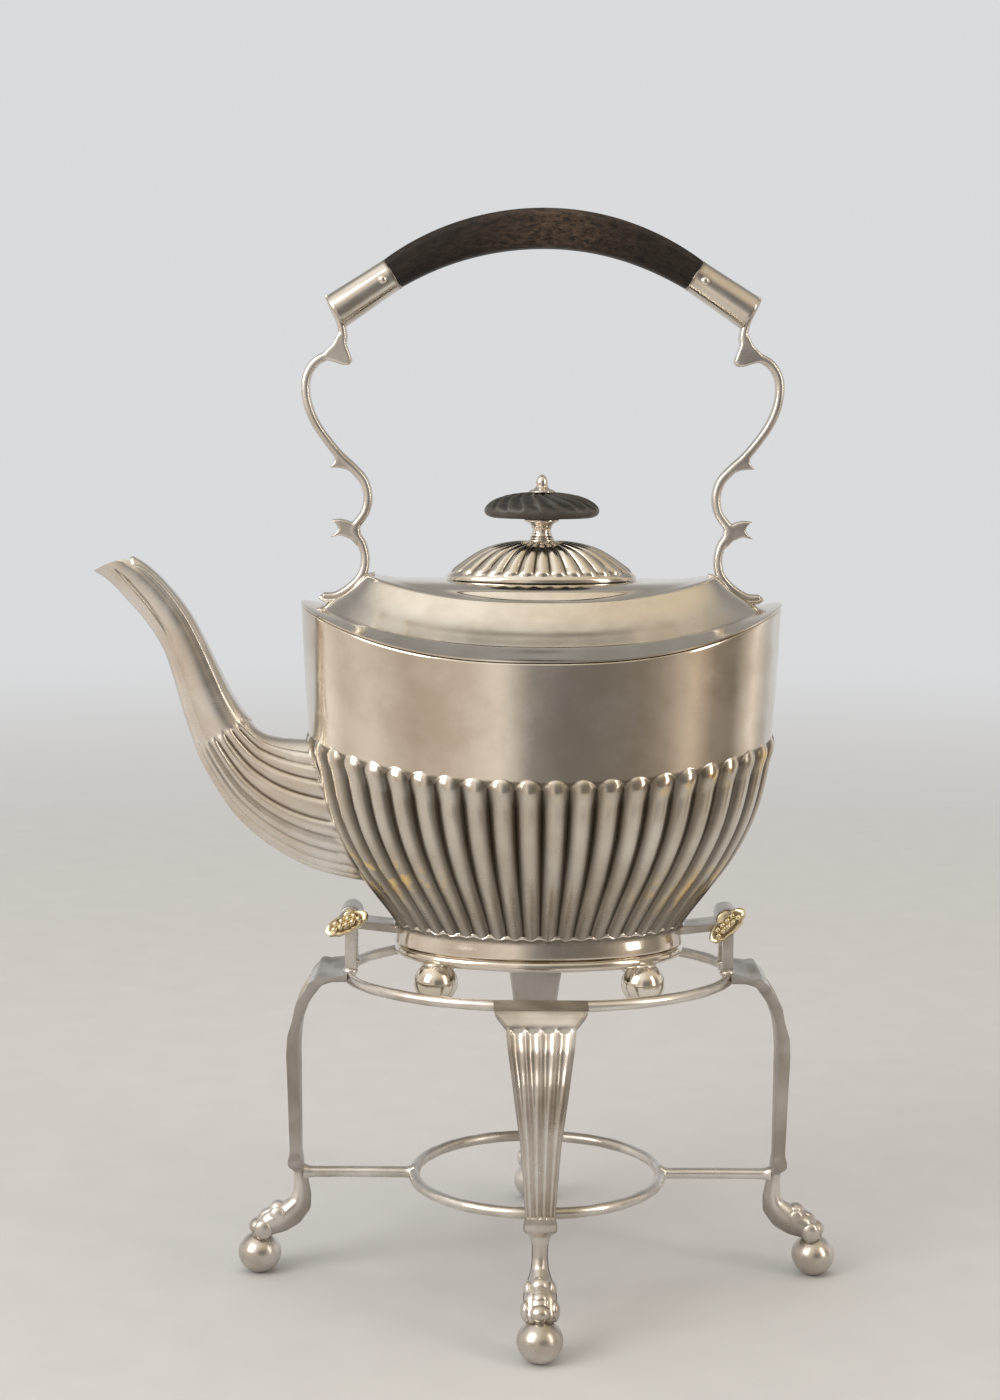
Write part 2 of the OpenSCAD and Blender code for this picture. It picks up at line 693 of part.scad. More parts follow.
// Centre line of the right arm, in steps from where its lower end lies on the shoulder
arm_foot = [body_half_x - cove_x / 3, rim_z + rim_rise + 0.107 * shoulder_h];
upper_arm = [
    [-6.3, 92.6], [-6.4, 88], [-4.2, 86.4], [0.6, 85.6], [4, 81.6], [5.5, 75.3], [5, 68.9], [2.3, 62.4],
    [-1.9, 55.7], [-6.6, 49.8], [-11.6, 45.4], [-15.5, 40.8], [-16.8, 34.5], [-15.3, 29.2], [-11.4, 24.6]
];
lower_arm = [
    [-11.4, 23.6], [-14.3, 18.4], [-15.2, 12.4], [-13.7, 7.3], [-9.3, 2.6], [-4, -0.4], [0.6, -0.2]
];
// The outline is scaled and leant so that its top meets the neck under the ferrule's end
arm_neck = ferrule_end + [-1.5, -10];
arm_scale = (arm_neck[1] - arm_foot[1]) / upper_arm[0][1];
arm_lean = (arm_neck[0] - arm_foot[0] - arm_scale * upper_arm[0][0]) / upper_arm[0][1];
function placed(points) = [for (p = points) arm_foot + arm_scale * p + [arm_lean * p[1], 0]];

// A smooth curve through a list of points
function curve_at(p, i, t) =
    let (n = len(p), a = p[max(i - 1, 0)], b = p[i], c = p[min(i + 1, n - 1)], d = p[min(i + 2, n - 1)])
    b + (c - a) * t / 2 + (2 * a - 5 * b + 4 * c - d) * t * t / 2 + (3 * b - a - 3 * c + d) * t * t * t / 2;
function smooth(p, cuts) =
    [for (i = [0 : len(p) - 2]) for (k = [0 : cuts - 1]) curve_at(p, i, k / cuts), p[len(p) - 1]];

// A strip of even thickness along a smooth curve
module strip(points, t) {
    c = smooth(points, 3);
    n = len(c);
    side = [for (i = [0 : n - 1])
        let (d = c[min(i + 1, n - 1)] - c[max(i - 1, 0)])
        [-d[1], d[0]] / norm(d) * t / 2];
    polygon(concat([for (i = [0 : n - 1]) c[i] + side[i]], [for (i = [n - 1 : -1 : 0]) c[i] - side[i]]));
}

// A spur that stands off the strip: root above, tip, root below
module spur(points) {
    polygon(placed(points));
}

module right_arm() {
    rotate([90, 0, 0]) linear_extrude(scroll_depth, center = true) {
        strip(placed(upper_arm), scroll_t);
        strip(placed(lower_arm), scroll_t);
        spur([[-7.8, 89.6], [-10.2, 86.6], [-9.2, 84.6], [-3.6, 85]]);
        spur([[-5.4, 52], [-4.7, 45.4], [-10.2, 45.2]]);
        spur([[-12.6, 28], [-4.2, 25.4], [-7.6, 23.6], [-3.5, 20.4], [-12.4, 21], [-13.4, 25]]);
        polygon([
            arm_neck + [-scroll_t / 2, -1], ferrule_end + [-3.2, -5],
            ferrule_end + [1, -3], arm_neck + [scroll_t / 2, -1]]);
    }
    along_ferrule() translate([0, 0, ferrule_l - sunk])
        cylinder(d = ferrule_end_d - 0.2, h = end_cap_t + sunk, $fn = bore_fn);
}

module handle_arm_right() {
    color(silver) right_arm();
}

module handle_arm_left() {
    color(silver) mirror([1, 0, 0]) right_arm();
}

// A strap that follows the shoulder under the scroll's foot
module right_saddle() {
    line = [for (i = [1 : 5]) let (row = shoulder_top[i]) [row[0], row[2] + row[3]]];
    rotate([90, 0, 0]) linear_extrude(saddle_w, center = true) polygon(concat(
        [for (p = line) p - [0, wall * 0.5]],
        [for (i = [len(line) - 1 : -1 : 0]) line[i] + [0, saddle_t]]));
}

module saddle_right() {
    color(silver) right_saddle();
}

module saddle_left() {
    color(silver) mirror([1, 0, 0]) right_saddle();
}

// Lid hinge

lid_z = mouth_z + lid_gap;
hinge_y = lid_half_y + 2.6;
hinge_z = lid_z + 0.9;
lid_knuckle_r = lid_knuckle_d / 2;
knuckle_slack = 0.2;
bracket_t = 4.2;
bracket_root = 4;
leaf_plate_t = 1.4;

module hinge_bracket() {
    color(silver) difference() {
        union() {
            rod_x(lid_knuckle_r, hinge_y, hinge_z, -lid_knuckle_w / 2, lid_knuckle_w / 2);
            translate([-lid_knuckle_w / 2, hinge_y - 1.3, mouth_z - bracket_root])
                cube([lid_knuckle_w, bracket_t, hinge_z - 1.1 - mouth_z + bracket_root]);
        }
        rod_x(lid_pin_d / 2, hinge_y, hinge_z, -lid_knuckle_w, lid_knuckle_w);
    }
}

hinge_reach = lid_knuckle_w / 2 + knuckle_slack + lid_knuckle_side_w;

module lid_hinge_pin() {
    color(silver) rod_x(lid_pin_d / 2, hinge_y, hinge_z, -hinge_reach - 0.4, hinge_reach + 0.4);
}

module lid_hinge_leaf() {
    leaf_y = lid_half_y - 3;
    leaf_z = hinge_z - sunk;
    color(silver) difference() {
        union() {
            for (s = [-1, 1]) {
                x0 = s < 0 ? -hinge_reach : hinge_reach - lid_knuckle_side_w;
                rod_x(lid_knuckle_r, hinge_y, hinge_z, x0, x0 + lid_knuckle_side_w);
                translate([x0, leaf_y, leaf_z]) cube([lid_knuckle_side_w, hinge_y - leaf_y, leaf_plate_t]);
            }
            translate([-hinge_reach, leaf_y, leaf_z]) cube([2 * hinge_reach, 2.8, leaf_plate_t]);
        }
        rod_x(lid_pin_d / 2 + pin_gap, hinge_y, hinge_z, -hinge_reach - 1, hinge_reach + 1);
    }
}

// Lid

lid_angles = even_angles(lid_half_x, lid_half_y, 2 * lid_flutes);
crown_r = 4.6;
shank_hole_r = bolt_d / 2 + bolt_gap;

// Rows of the dome: share of the way out from crown to edge, share of the height, share of the flute
dome_shape = [[1, 0.06, 0], [0.91, 0.2, 0.4], [0.72, 0.54, 1], [0.48, 0.82, 1], [0.2, 0.96, 0.9], [0, 1, 0]];
function dome_row(s, drop, inset) =
    [crown_r + (lid_half_x - crown_r) * s[0] - inset, crown_r + (lid_half_y - crown_r) * s[0] - inset,
        lid_z + lid_h * s[1] - drop, 0, s[2] * lid_flute_depth];

module lid_dome() {
    color(silver) loft(concat(
        [raised_ring(dome_row([1, 0, 0], 0, 0), lid_angles)],
        [for (s = dome_shape) raised_ring(dome_row(s, 0, 0), lid_angles)],
        [raised_ring([shank_hole_r, shank_hole_r, lid_z + lid_h, 0, 0], lid_angles)],
        [raised_ring([shank_hole_r, shank_hole_r, lid_z + lid_h - wall, 0, 0], lid_angles)],
        [for (i = [len(dome_shape) - 1 : -1 : 1])
            raised_ring(inner_row(dome_row(dome_shape[i], wall, i < 3 ? 0.9 : 0.3)), lid_angles)],
        [raised_ring(dome_row([0.91, 0, 0], 0, 0.9), lid_angles)]), looped = true);
}

collar_half_x = mouth_half_x - bezel_gap;
collar_half_y = mouth_half_y - bezel_gap;
collar_grip = 2.2;
module oval_plate(a, b) {
    polygon([for (t = lid_angles) oval(a, b, t)]);
}

module lid_collar() {
    color(silver) translate([0, 0, lid_z - bezel_h]) linear_extrude(bezel_h + collar_grip) difference() {
        oval_plate(collar_half_x, collar_half_y);
        oval_plate(collar_half_x - bezel_t, collar_half_y - bezel_t);
    }
}

// Finial

stem_z = lid_z + lid_h;
button_z = stem_z + stem_h;
cap_z = button_z + button_t;
bud_h = 6.5;

module finial_stem() {
    color(silver) translate([0, 0, stem_z]) rotate_extrude($fn = bore_fn) polygon([
        [shank_hole_r, 0], [4.3, 0], [4.3, 0.8], [3, 1.6], [2.8, 0.45 * stem_h], [3.2, 0.62 * stem_h],
        [0.42 * stem_d, stem_h - 1.4], [stem_d / 2, stem_h - 0.9], [stem_d / 2, stem_h],
        [shank_hole_r, stem_h]]);
}

button_angles = [for (j = [0 : 2 * button_lobes - 1]) 180 * j / button_lobes];
button_shape = [
    [0.5, 0, 0], [0.86, 0.12, 0], [1, 0.4, 0.3], [0.97, 0.66, 1], [0.8, 0.9, 1], [0.42, 1, 0.3]
];
module finial_button() {
    color(blackwood) difference() {
        loft([for (s = button_shape)
            raised_ring([button_l / 2 * s[0], button_w / 2 * s[0], button_z + button_t * s[1], 0, 1.1 * s[2]],
                button_angles)]);
        translate([0, 0, button_z - 1]) cylinder(r = shank_hole_r, h = button_t + 2, $fn = bore_fn);
    }
}

nut_h = 2.4;
nut_z = stem_z - wall - nut_h;
module finial_bolt() {
    color(silver) {
        translate([0, 0, nut_z - 1]) cylinder(d = bolt_d, h = cap_z - nut_z + 1.5, $fn = bore_fn);
        translate([0, 0, cap_z]) rotate_extrude($fn = bore_fn) polygon([
            [0, 0], [4.7, 0], [4.7, 0.6], [2.4, 1.5], [1.5, 2.2], [1.9, 2.9], [2.15, 3.9], [1.7, 5.2],
            [0.7, bud_h - 0.3], [0, bud_h]]);
    }
}

module finial_nut() {
    color(brass) translate([0, 0, nut_z]) difference() {
        cylinder(d = 2.2 * bolt_d, h = nut_h, $fn = 6);
        translate([0, 0, -1]) cylinder(d = bolt_d, h = nut_h + 2, $fn = bore_fn);
    }
}

top_ring();
leg_front();
leg_back();
leg_left();
leg_right();
stand_ball_feet();
burner_ring();
burner_bars();
pivot_ears();
rest_ears();
pivot_pin();
pivot_pin_grip();
rest_pin();
rest_pin_grip();
kettle_body();
shoulder();
foot_band();
base_wire();
kettle_ball_feet();
pivot_arm();
rest_arm();
spout();
saddle_left();
saddle_right();
handle_arm_left();
handle_arm_right();
ferrule_left();
ferrule_right();
handle_grip();
grip_rivets();
hinge_bracket();
lid_hinge_pin();
lid_dome();
lid_collar();
lid_hinge_leaf();
finial_stem();
finial_button();
finial_bolt();
finial_nut();
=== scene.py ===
import bpy
import math
import numpy as np
from mathutils import Matrix, Vector


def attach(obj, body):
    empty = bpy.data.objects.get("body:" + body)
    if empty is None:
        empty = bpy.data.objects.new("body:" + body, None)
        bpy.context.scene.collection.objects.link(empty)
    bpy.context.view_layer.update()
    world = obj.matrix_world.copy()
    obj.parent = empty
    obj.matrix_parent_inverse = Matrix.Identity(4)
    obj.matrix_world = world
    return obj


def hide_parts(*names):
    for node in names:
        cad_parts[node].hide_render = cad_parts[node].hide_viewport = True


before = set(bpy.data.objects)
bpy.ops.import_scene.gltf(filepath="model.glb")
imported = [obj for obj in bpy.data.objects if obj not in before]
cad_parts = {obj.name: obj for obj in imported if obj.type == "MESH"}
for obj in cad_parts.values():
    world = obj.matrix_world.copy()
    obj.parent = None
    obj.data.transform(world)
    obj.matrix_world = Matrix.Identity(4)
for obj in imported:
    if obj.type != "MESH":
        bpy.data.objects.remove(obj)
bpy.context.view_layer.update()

# Camera. It stands in front of the kettle, a little to the left of its middle and above its rim,
# and looks slightly down on it, as in the photograph.
camera_place, camera_tilt, camera_roll = (-0.0148, -0.8829, 0.3285), 82.81, 0.3


def placed(name, data):
    """A new object in the scene for a mesh, a lamp or a camera."""
    made = bpy.data.objects.new(name, data)
    bpy.context.scene.collection.objects.link(made)
    return made


lens = bpy.data.cameras.new("camera")
lens.lens, lens.sensor_width = 62.6, 36
lens.clip_start, lens.clip_end = 0.05, 60
camera = placed("camera", lens)
camera.matrix_world = (Matrix.Translation(camera_place) @ Matrix.Rotation(math.radians(camera_tilt), 4, "X")
                       @ Matrix.Rotation(math.radians(camera_roll), 4, "Z"))
bpy.context.scene.camera = camera

# Top ring of the stand. A round rod bent into an oval and soldered shut, on which the four legs and the
# four posts stand. Silver plate on brass, worn and a little uneven from hand finishing.
ring_half_x, ring_half_y, ring_z, ring_rod_r = 71, 53, 115.8, 2


def full_turn(count):
    """Even angles once round, from +X."""
    return 2 * np.pi * np.arange(count) / count


def looped(grid, rows_meet=True):
    """Points of a grid of rings and the quads between them; the last ring may join the first."""
    rows, columns = grid.shape[:2]
    i, j = np.arange(rows if rows_meet else rows - 1)[:, None], np.arange(columns)[None, :]
    below, right = (i + 1) % rows * columns, (j + 1) % columns
    quads = np.stack(np.broadcast_arrays(i * columns + j, i * columns + right, below + right, below + j), -1)
    return grid.reshape(-1, 3), quads.reshape(-1, 4).tolist()


def capped(grid):
    """A grid of rings as a body closed at its first and last ring with a fan of triangles."""
    points, faces = looped(grid, rows_meet=False)
    columns, count = grid.shape[1], len(points)
    top = count - columns
    for j in range(columns):
        k = (j + 1) % columns
        faces += [[count, k, j], [count + 1, top + j, top + k]]
    return np.concatenate([points, [grid[0].mean(0)], [grid[-1].mean(0)]]), faces


def swept(path, side, wide, deep, sides=24, square=1.0, closed=False):
    """A rod along a path. side points across it; wide and deep are its half sizes along the way."""
    path = np.asarray(path, float)
    run = np.roll(path, -1, 0) - np.roll(path, 1, 0)
    if not closed:
        run[0], run[-1] = path[1] - path[0], path[-1] - path[-2]
    run /= np.linalg.norm(run, axis=1)[:, None]
    side = np.asarray(side, float) - (run @ np.asarray(side, float))[:, None] * run
    side /= np.linalg.norm(side, axis=1)[:, None]
    up = np.cross(run, side)
    turn = full_turn(sides) + np.pi / sides
    c, s = np.cos(turn), np.sin(turn)
    c, s = np.sign(c) * np.abs(c) ** square, np.sign(s) * np.abs(s) ** square
    wide, deep = (np.broadcast_to(half, len(path))[:, None, None] for half in (wide, deep))
    grid = path[:, None] + side[:, None] * wide * c[:, None] + up[:, None] * deep * s[:, None]
    return looped(grid) if closed else capped(grid)


def mark_relief(mesh, depth, rounds):
    """Stores how far each point lies in a hollow (above 0) or on a ridge (below 0), as a share of depth."""
    count = len(mesh.vertices)
    place, normal, ends = np.empty(3 * count), np.empty(3 * count), np.empty(2 * len(mesh.edges), int)
    mesh.vertices.foreach_get("co", place)
    mesh.vertex_normals.foreach_get("vector", normal)
    mesh.edges.foreach_get("vertices", ends)
    a, b = ends.reshape(-1, 2).T
    here, there = np.concatenate([a, b]), np.concatenate([b, a])
    share = np.bincount(here, minlength=count).clip(1)
    place = place.reshape(-1, 3)
    even = place.copy()
    for _ in range(rounds):
        for k in range(3):
            total = np.bincount(here, weights=even[there, k], minlength=count)
            even[:, k] = 0.4 * even[:, k] + 0.6 * total / share
    hollow = ((even - place) * normal.reshape(-1, 3)).sum(1) / (depth * 0.001)
    mesh.attributes.new("relief", "FLOAT", "POINT").data.foreach_set("value", hollow.clip(-1, 1))


def new_mesh(name, shape):
    """A mesh from a shape: its points in millimetres and its faces."""
    mesh = bpy.data.meshes.new(name)
    mesh.from_pydata((np.asarray(shape[0]) * 0.001).tolist(), [], shape[1])
    mesh.update()
    return mesh


def make_piece(name, shape, body, finish, nodes=(), slot="silver_plate", sharp=40, depth=0.3, rounds=12):
    """A smoothly shaded piece from a shape or a mesh, that rides on a body in place of its solids."""
    mesh = shape if isinstance(shape, bpy.types.Mesh) else new_mesh(name, shape)
    mesh.polygons.foreach_set("use_smooth", [True] * len(mesh.polygons))
    mesh.set_sharp_from_angle(angle=math.radians(sharp))
    mark_relief(mesh, depth, rounds)
    mesh.materials.append(finish)
    piece = placed(name, mesh)
    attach(piece, body)
    if nodes:
        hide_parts(*nodes)
    return piece


def feed(tree, port, value):
    """Joins another node's output to a port, or sets the port to a number or a colour."""
    if isinstance(value, bpy.types.NodeSocket):
        tree.links.new(value, port)
    else:
        port.default_value = (*value, 1) if port.type == "RGBA" else value


def add_node(tree, kind, ports=(), **settings):
    """A shader node with its settings and with what goes into its ports."""
    made = tree.nodes.new("ShaderNode" + kind)
    for name, value in settings.items():
        setattr(made, name, value)
    for port, value in dict(ports).items():
        feed(tree, made.inputs[port], value)
    return made


def noise(tree, at, scale, detail, rough=0.55, bend=0.0):
    """Cloudy noise over the places given."""
    ports = {"Vector": at, "Scale": scale, "Detail": detail, "Roughness": rough, "Distortion": bend}
    return add_node(tree, "TexNoise", ports).outputs["Fac"]


def between(tree, value, low, high, start=0.0, end=1.0, ease="SMOOTHSTEP"):
    """start where the value is low, end where it is high, and a steady change between them."""
    ports = {"Value": value, "From Min": low, "From Max": high, "To Min": start, "To Max": end}
    return add_node(tree, "MapRange", ports, interpolation_type=ease).outputs["Result"]


def figure(tree, kind, first, second, clamp=False):
    """One sum on two values, held between 0 and 1 if clamp is set."""
    return add_node(tree, "Math", {0: first, 1: second}, operation=kind, use_clamp=clamp).outputs[0]


def mixed(tree, share, first, second):
    """The first colour where share is 0, the second where it is 1."""
    return add_node(tree, "Mix", {"Factor": share, 6: first, 7: second}, data_type="RGBA").outputs[2]


def painted_on(tree, kind):
    """The values that a piece's points carry under a name."""
    return add_node(tree, "Attribute", attribute_name=kind)


def bumps(tree, height, strength, deep, under=None):
    """Small unevenness of a surface, deep in metres, over a coarser one if that is given."""
    ports = {"Strength": strength, "Distance": deep, "Height": height}
    if under is not None:
        ports["Normal"] = under
    return add_node(tree, "Bump", ports).outputs[0]


def new_finish(name):
    """A material, its node tree and its shader."""
    finish = bpy.data.materials.new(name)
    finish.use_nodes = True
    return finish, finish.node_tree, finish.node_tree.nodes["Principled BSDF"]


def dress(tree, shader, colour, gloss, uneven):
    """Gives the shader its colour, its roughness and its unevenness."""
    for port, value in (("Base Color", colour), ("Roughness", gloss), ("Normal", uneven)):
        feed(tree, shader.inputs[port], value)


def metal(name, bright, toned, tarnish_and_shade_colour, shine, tarnish_and_shade_depth, waves=0.02, worn=None, dark=(0.12, 0.8)):
    """Worn plated metal: cloudy tone, tarnished hollows and painted shade where a piece's marks lay it,
    rubbed ridges, fine wiping scratches.
    """
    finish, tree, shader = new_finish(name)
    shader.inputs["Metallic"].default_value = 1
    place = add_node(tree, "TexCoord").outputs["Object"]
    smudges = noise(tree, place, 120, 2, rough=0.5)
    colour = mixed(tree, between(tree, noise(tree, place, 34, 5), 0.36, 0.66), bright, toned)
    colour = mixed(tree, between(tree, smudges, 0.5, 0.8, 0, 0.25), colour, toned)
    # Darkens to the tarnished colour where the relief marks say: real hollows, and painted shade where a
    # piece's marks carry it.
    hollow = between(tree, painted_on(tree, "relief").outputs["Fac"], *dark, 0, tarnish_and_shade_depth)
    specks = between(tree, noise(tree, place, 70, 4), 0.6, 0.85, 0, 0.08 * tarnish_and_shade_depth)
    tarnish_and_painted_shade = figure(tree, "ADD", hollow, specks, clamp=True)
    colour = mixed(tree, tarnish_and_painted_shade, colour, tarnish_and_shade_colour)
    if worn:
        patches = between(tree, noise(tree, place, 130, 4), 0.47, 0.58)
        bare_share = figure(tree, "MULTIPLY", painted_on(tree, "rubbed").outputs["Fac"], patches, clamp=True)
        colour = mixed(tree, bare_share, colour, worn)
    streaks = add_node(tree, "Mapping", {"Vector": place, "Scale": (1, 1, 9)}).outputs[0]
    wiped = between(tree, noise(tree, streaks, 320, 3), 0.5, 0.75, 0, 0.04)
    gloss = figure(tree, "ADD", between(tree, smudges, 0.3, 0.75, *shine), wiped, clamp=True)
    gloss = figure(tree, "ADD", gloss, figure(tree, "MULTIPLY", tarnish_and_painted_shade, 0.3, clamp=True), clamp=True)
    dents = bumps(tree, noise(tree, place, 38, 1), 0.5, waves * 0.006)
    dress(tree, shader, colour, gloss, bumps(tree, noise(tree, place, 260, 2), 0.3, waves * 0.0006, dents))
    return finish


plate_light, plate_toned = (0.80, 0.77, 0.73), (0.65, 0.61, 0.56)
stand_silver = metal("stand_silver", plate_light, (0.52, 0.47, 0.415), (0.135, 0.115, 0.095),
                     (0.25, 0.38), 0.5, dark=(0.4, 1.2))


def oval_rod(half_x, half_y, z, rod_r, steps, uneven):
    """A rod bent into a level oval, with a little unevenness from the hand."""
    t = full_turn(steps)
    wobble = uneven * (np.sin(3 * t + 1) + 0.6 * np.sin(7 * t) + 0.4 * np.sin(13 * t + 2))
    path = np.stack([half_x * np.cos(t), half_y * np.sin(t), z + wobble], 1)
    rod = rod_r * (1 + 0.02 * np.sin(17 * t) + 0.015 * np.sin(29 * t + 1))
    return swept(path, (0, 0, 1), rod, rod, 20, closed=True)


ring = oval_rod(ring_half_x, ring_half_y, ring_z, ring_rod_r, 220, uneven=0.06)
make_piece("ring_rod", ring, "stand", stand_silver, ["top_ring"], depth=0.5)

# Legs. Four castings soldered under the ring: a flat cap, a fluted pilaster that narrows downwards, a
# square collar, a thin ankle and a claw of three toes that grips a ball. Their backs are flat.
leg_spread, cap_w, shaft_top_w, knee_w, ankle_w, ball_z = 33, 33, 24, 10.5, 5.6, 7.6
flute_count, flute_depth, edge_strip = 4, 1.5, 0.1
leg_places = (("right", 0, ring_half_x), ("back", 90, ring_half_y), ("left", 180, ring_half_x),
              ("front", -90, ring_half_y))


def distances(points):
    """How far along the line through the points each of them lies."""
    return np.concatenate([[0], np.cumsum(np.linalg.norm(np.diff(points, axis=0), axis=1))])


def even_line(line, step, rounds):
    """Points at an even step along a row of values, whose first two pairs are places, with eased corners."""
    line = np.asarray(line, float)
    run = distances(line[:, :4]) / 1.414
    at = np.linspace(0, run[-1], int(run[-1] / step) + 1)
    line = np.stack([np.interp(at, run, line[:, k]) for k in range(line.shape[1])], 1)
    for _ in range(rounds):
        line[1:-1] = 0.25 * line[:-2] + 0.5 * line[1:-1] + 0.25 * line[2:]
    return line


def shaft(share):
    """Width of the pilaster at a share of the way from its foot to its top."""
    return knee_w + (shaft_top_w - knee_w) * share


# Outer point, inner point, width, share of roundness; out from the ring's edge and up from the table
foot = leg_spread
leg_line = [
    (-1, 118, -1, 114.6, cap_w, 0), (4, 117.2, 4.6, 114.7, cap_w, 0), (8.4, 117.0, 7.6, 113.6, cap_w, 0),
    (9.5, 117.6, 8.2, 113.2, cap_w, 0), (10.6, 116.9, 8.8, 112.4, 32.4, 0), (12, 115.2, 9.6, 111.2, 29.6, 0),
    (14.2, 112.8, 10.9, 109.3, 25.6, 0), (13.9, 112.1, 11.4, 108.6, 24.2, 0),
    (16.4, 108.6, 13.2, 106, shaft(0.99), 0), (18.3, 105.5, 14.5, 102.8, shaft(0.93), 0),
    (19.7, 98.7, 16.3, 97.8, shaft(0.79), 0), (21.4, 93.5, 17, 92.3, shaft(0.68), 0),
    (22, 86, 17.4, 86, shaft(0.54), 0), (foot - 11.3, 72.5, foot - 15.8, 72.5, shaft(0.27), 0),
    (foot - 11.8, 48.4, foot - 16, 48.4, knee_w, 0), (foot - 11.7, 45.8, foot - 16, 46, knee_w, 0),
    (foot - 11.1, 45.5, foot - 16.2, 45.5, knee_w + 1.3, 0),
    (foot - 11.1, 41.9, foot - 16.6, 41.9, knee_w + 1.3, 0),
    (foot - 11.6, 41.3, foot - 16.9, 41.3, knee_w - 0.6, 0.4),
    (foot - 12.6, 39.6, foot - 17.2, 39.6, 7.2, 0.8),
    (foot - 13, 36, foot - 18.4, 35.6, ankle_w, 1), (foot - 12.8, 32, foot - 19.4, 30.5, ankle_w, 1),
    (foot - 11.8, 28.9, foot - 19.2, 24.5, ankle_w + 0.8, 1), (foot - 8.2, 26.6, foot - 15, 18.6, 9.4, 1),
    (foot - 4.6, 25.4, foot - 9.6, 15.4, 11.6, 1), (foot - 1.6, 23.4, foot - 5.6, 14.4, 12, 1),
    (foot + 1.4, 19.8, foot - 2, 13.8, 11.2, 1), (foot + 2.8, 16, foot + 0.6, 13.4, 8.6, 1)]


def leg_shape():
    """The right leg, out from the ring's edge: a worked front on a flat back."""
    ox, oz, ix, iz, width, rounded = even_line(leg_line, 0.6, 3).T
    c = np.linspace(-1, 1, 73)
    # Flutes lie side by side between narrow edge strips, with round ends at the top and the bottom
    rim = 1 - edge_strip
    cell = (c / rim + 1) / 2 * flute_count
    q = 2 * (cell - np.floor(cell)) - 1
    half = width * rim / 2 / flute_count
    reach = np.minimum(np.maximum(0, 111.6 - oz), np.maximum(0, oz - 46.4))
    ends = np.sqrt(np.clip(1 - np.clip(1 - reach / (0.22 * half), 0, 1) ** 2, 0, 1))
    hollow = np.clip(1 - np.abs(q / 0.94) ** 2.2, 0, 1) * ends[:, None] * (np.abs(c) < rim)
    sink = hollow * flute_depth * np.minimum(1, width[:, None] / 20 + 0.25)
    # Two grooves cross the cap
    groove = 0.3 * (np.exp(-((ox - 6.6) / 0.5) ** 2) + np.exp(-((ox - 11.6) / 0.5) ** 2)) * (oz > 112)
    sink = sink + groove[:, None]
    # Toes on the claw: a broad middle toe of two knuckles and a narrow one on each side
    claw = (np.clip((25.5 - oz) / 3, 0, 1) + np.clip((29 - oz) / 6, 0, 0.45)) * (rounded > 0.9)
    toes = np.maximum(1.25 * np.sqrt(np.clip(1 - (c / 0.4) ** 2, 0, 1)),
                      0.85 * np.sqrt(np.clip(1 - ((np.abs(c) - 0.7) / 0.3) ** 2, 0, 1)))
    knuckle = 0.75 * np.exp(-((oz - 23.4) / 1.5) ** 2) + 0.65 * np.exp(-((oz - 17.6) / 1.5) ** 2)
    toe_rise = 0.45 * np.clip(claw, 0, 1)[:, None] * (toes - 0.5)
    toe_rise = toe_rise + 0.3 * (claw * knuckle)[:, None] * (toes > 0.3)
    bow = rounded[:, None] * (1 - np.sqrt(np.clip(1 - 0.92 * c ** 2, 0, 1)))
    thick = np.hypot(ox - ix, oz - iz)[:, None]
    back = (bow * thick * 0.5 + sink - toe_rise) / thick
    px = ox[:, None] + (ix - ox)[:, None] * back
    front = np.stack([px, np.outer(width, c) / 2, oz[:, None] + (iz - oz)[:, None] * back], -1)
    # The flat back, with rounded corners, and fuller where the leg turns round
    cb = np.array([0.97, 0.9, 0.6, 0, -0.6, -0.9, -0.97])
    push = np.array([0.45, 0.1, 0, 0, 0, 0.1, 0.45]) + 0.3 * rounded[:, None] * cb ** 2
    rear = np.stack([ix[:, None] + (ox - ix)[:, None] * push, np.outer(width, cb) / 2,
                     iz[:, None] + (oz - iz)[:, None] * push], -1)
    return capped(np.concatenate([front, rear], 1))


def ball(centre, half_sizes, rows=40, columns=56):
    """A cast ball, or a lump where half_sizes gives three numbers, never quite true."""
    turn, rise = full_turn(columns), np.linspace(-np.pi / 2 + 0.03, np.pi / 2 - 0.03, rows)
    points = np.stack([np.outer(np.cos(rise), np.cos(turn)), np.outer(np.cos(rise), np.sin(turn)),
                       np.outer(np.sin(rise), np.ones(columns))], -1)
    dents = 1 + 0.006 * np.sin(3 * turn)[None, :, None] + 0.004 * np.sin(5 * rise + 1)[:, None, None]
    return capped(points * dents * np.asarray(half_sizes, float) + np.asarray(centre, float))


def together(shapes):
    """Several shapes as one."""
    points, faces, start = [], [], 0
    for more_points, more_faces in shapes:
        points.append(np.asarray(more_points, float))
        faces += [[start + k for k in face] for face in more_faces]
        start += len(more_points)
    return np.concatenate(points), faces


def turned_to(shape, bearing, out=0):
    """A shape moved outwards along X and then turned about the upright axis."""
    a = math.radians(bearing)
    turn = np.array([[math.cos(a), -math.sin(a), 0], [math.sin(a), math.cos(a), 0], [0, 0, 1]])
    return (shape[0] + [out, 0, 0]) @ turn.T, shape[1]


def darkened(piece, amount):
    """Darkens part of a piece, as a tarnished tone on some pieces and painted shade on others; amount gives
    its share from a point's place in millimetres.
    """
    marks = piece.data.attributes["relief"].data
    old, place = np.empty(len(marks)), np.empty(3 * len(marks))
    marks.foreach_get("value", old)
    piece.data.vertices.foreach_get("co", place)
    marks.foreach_set("value", np.maximum(old, amount(*(place.reshape(-1, 3).T * 1000))))


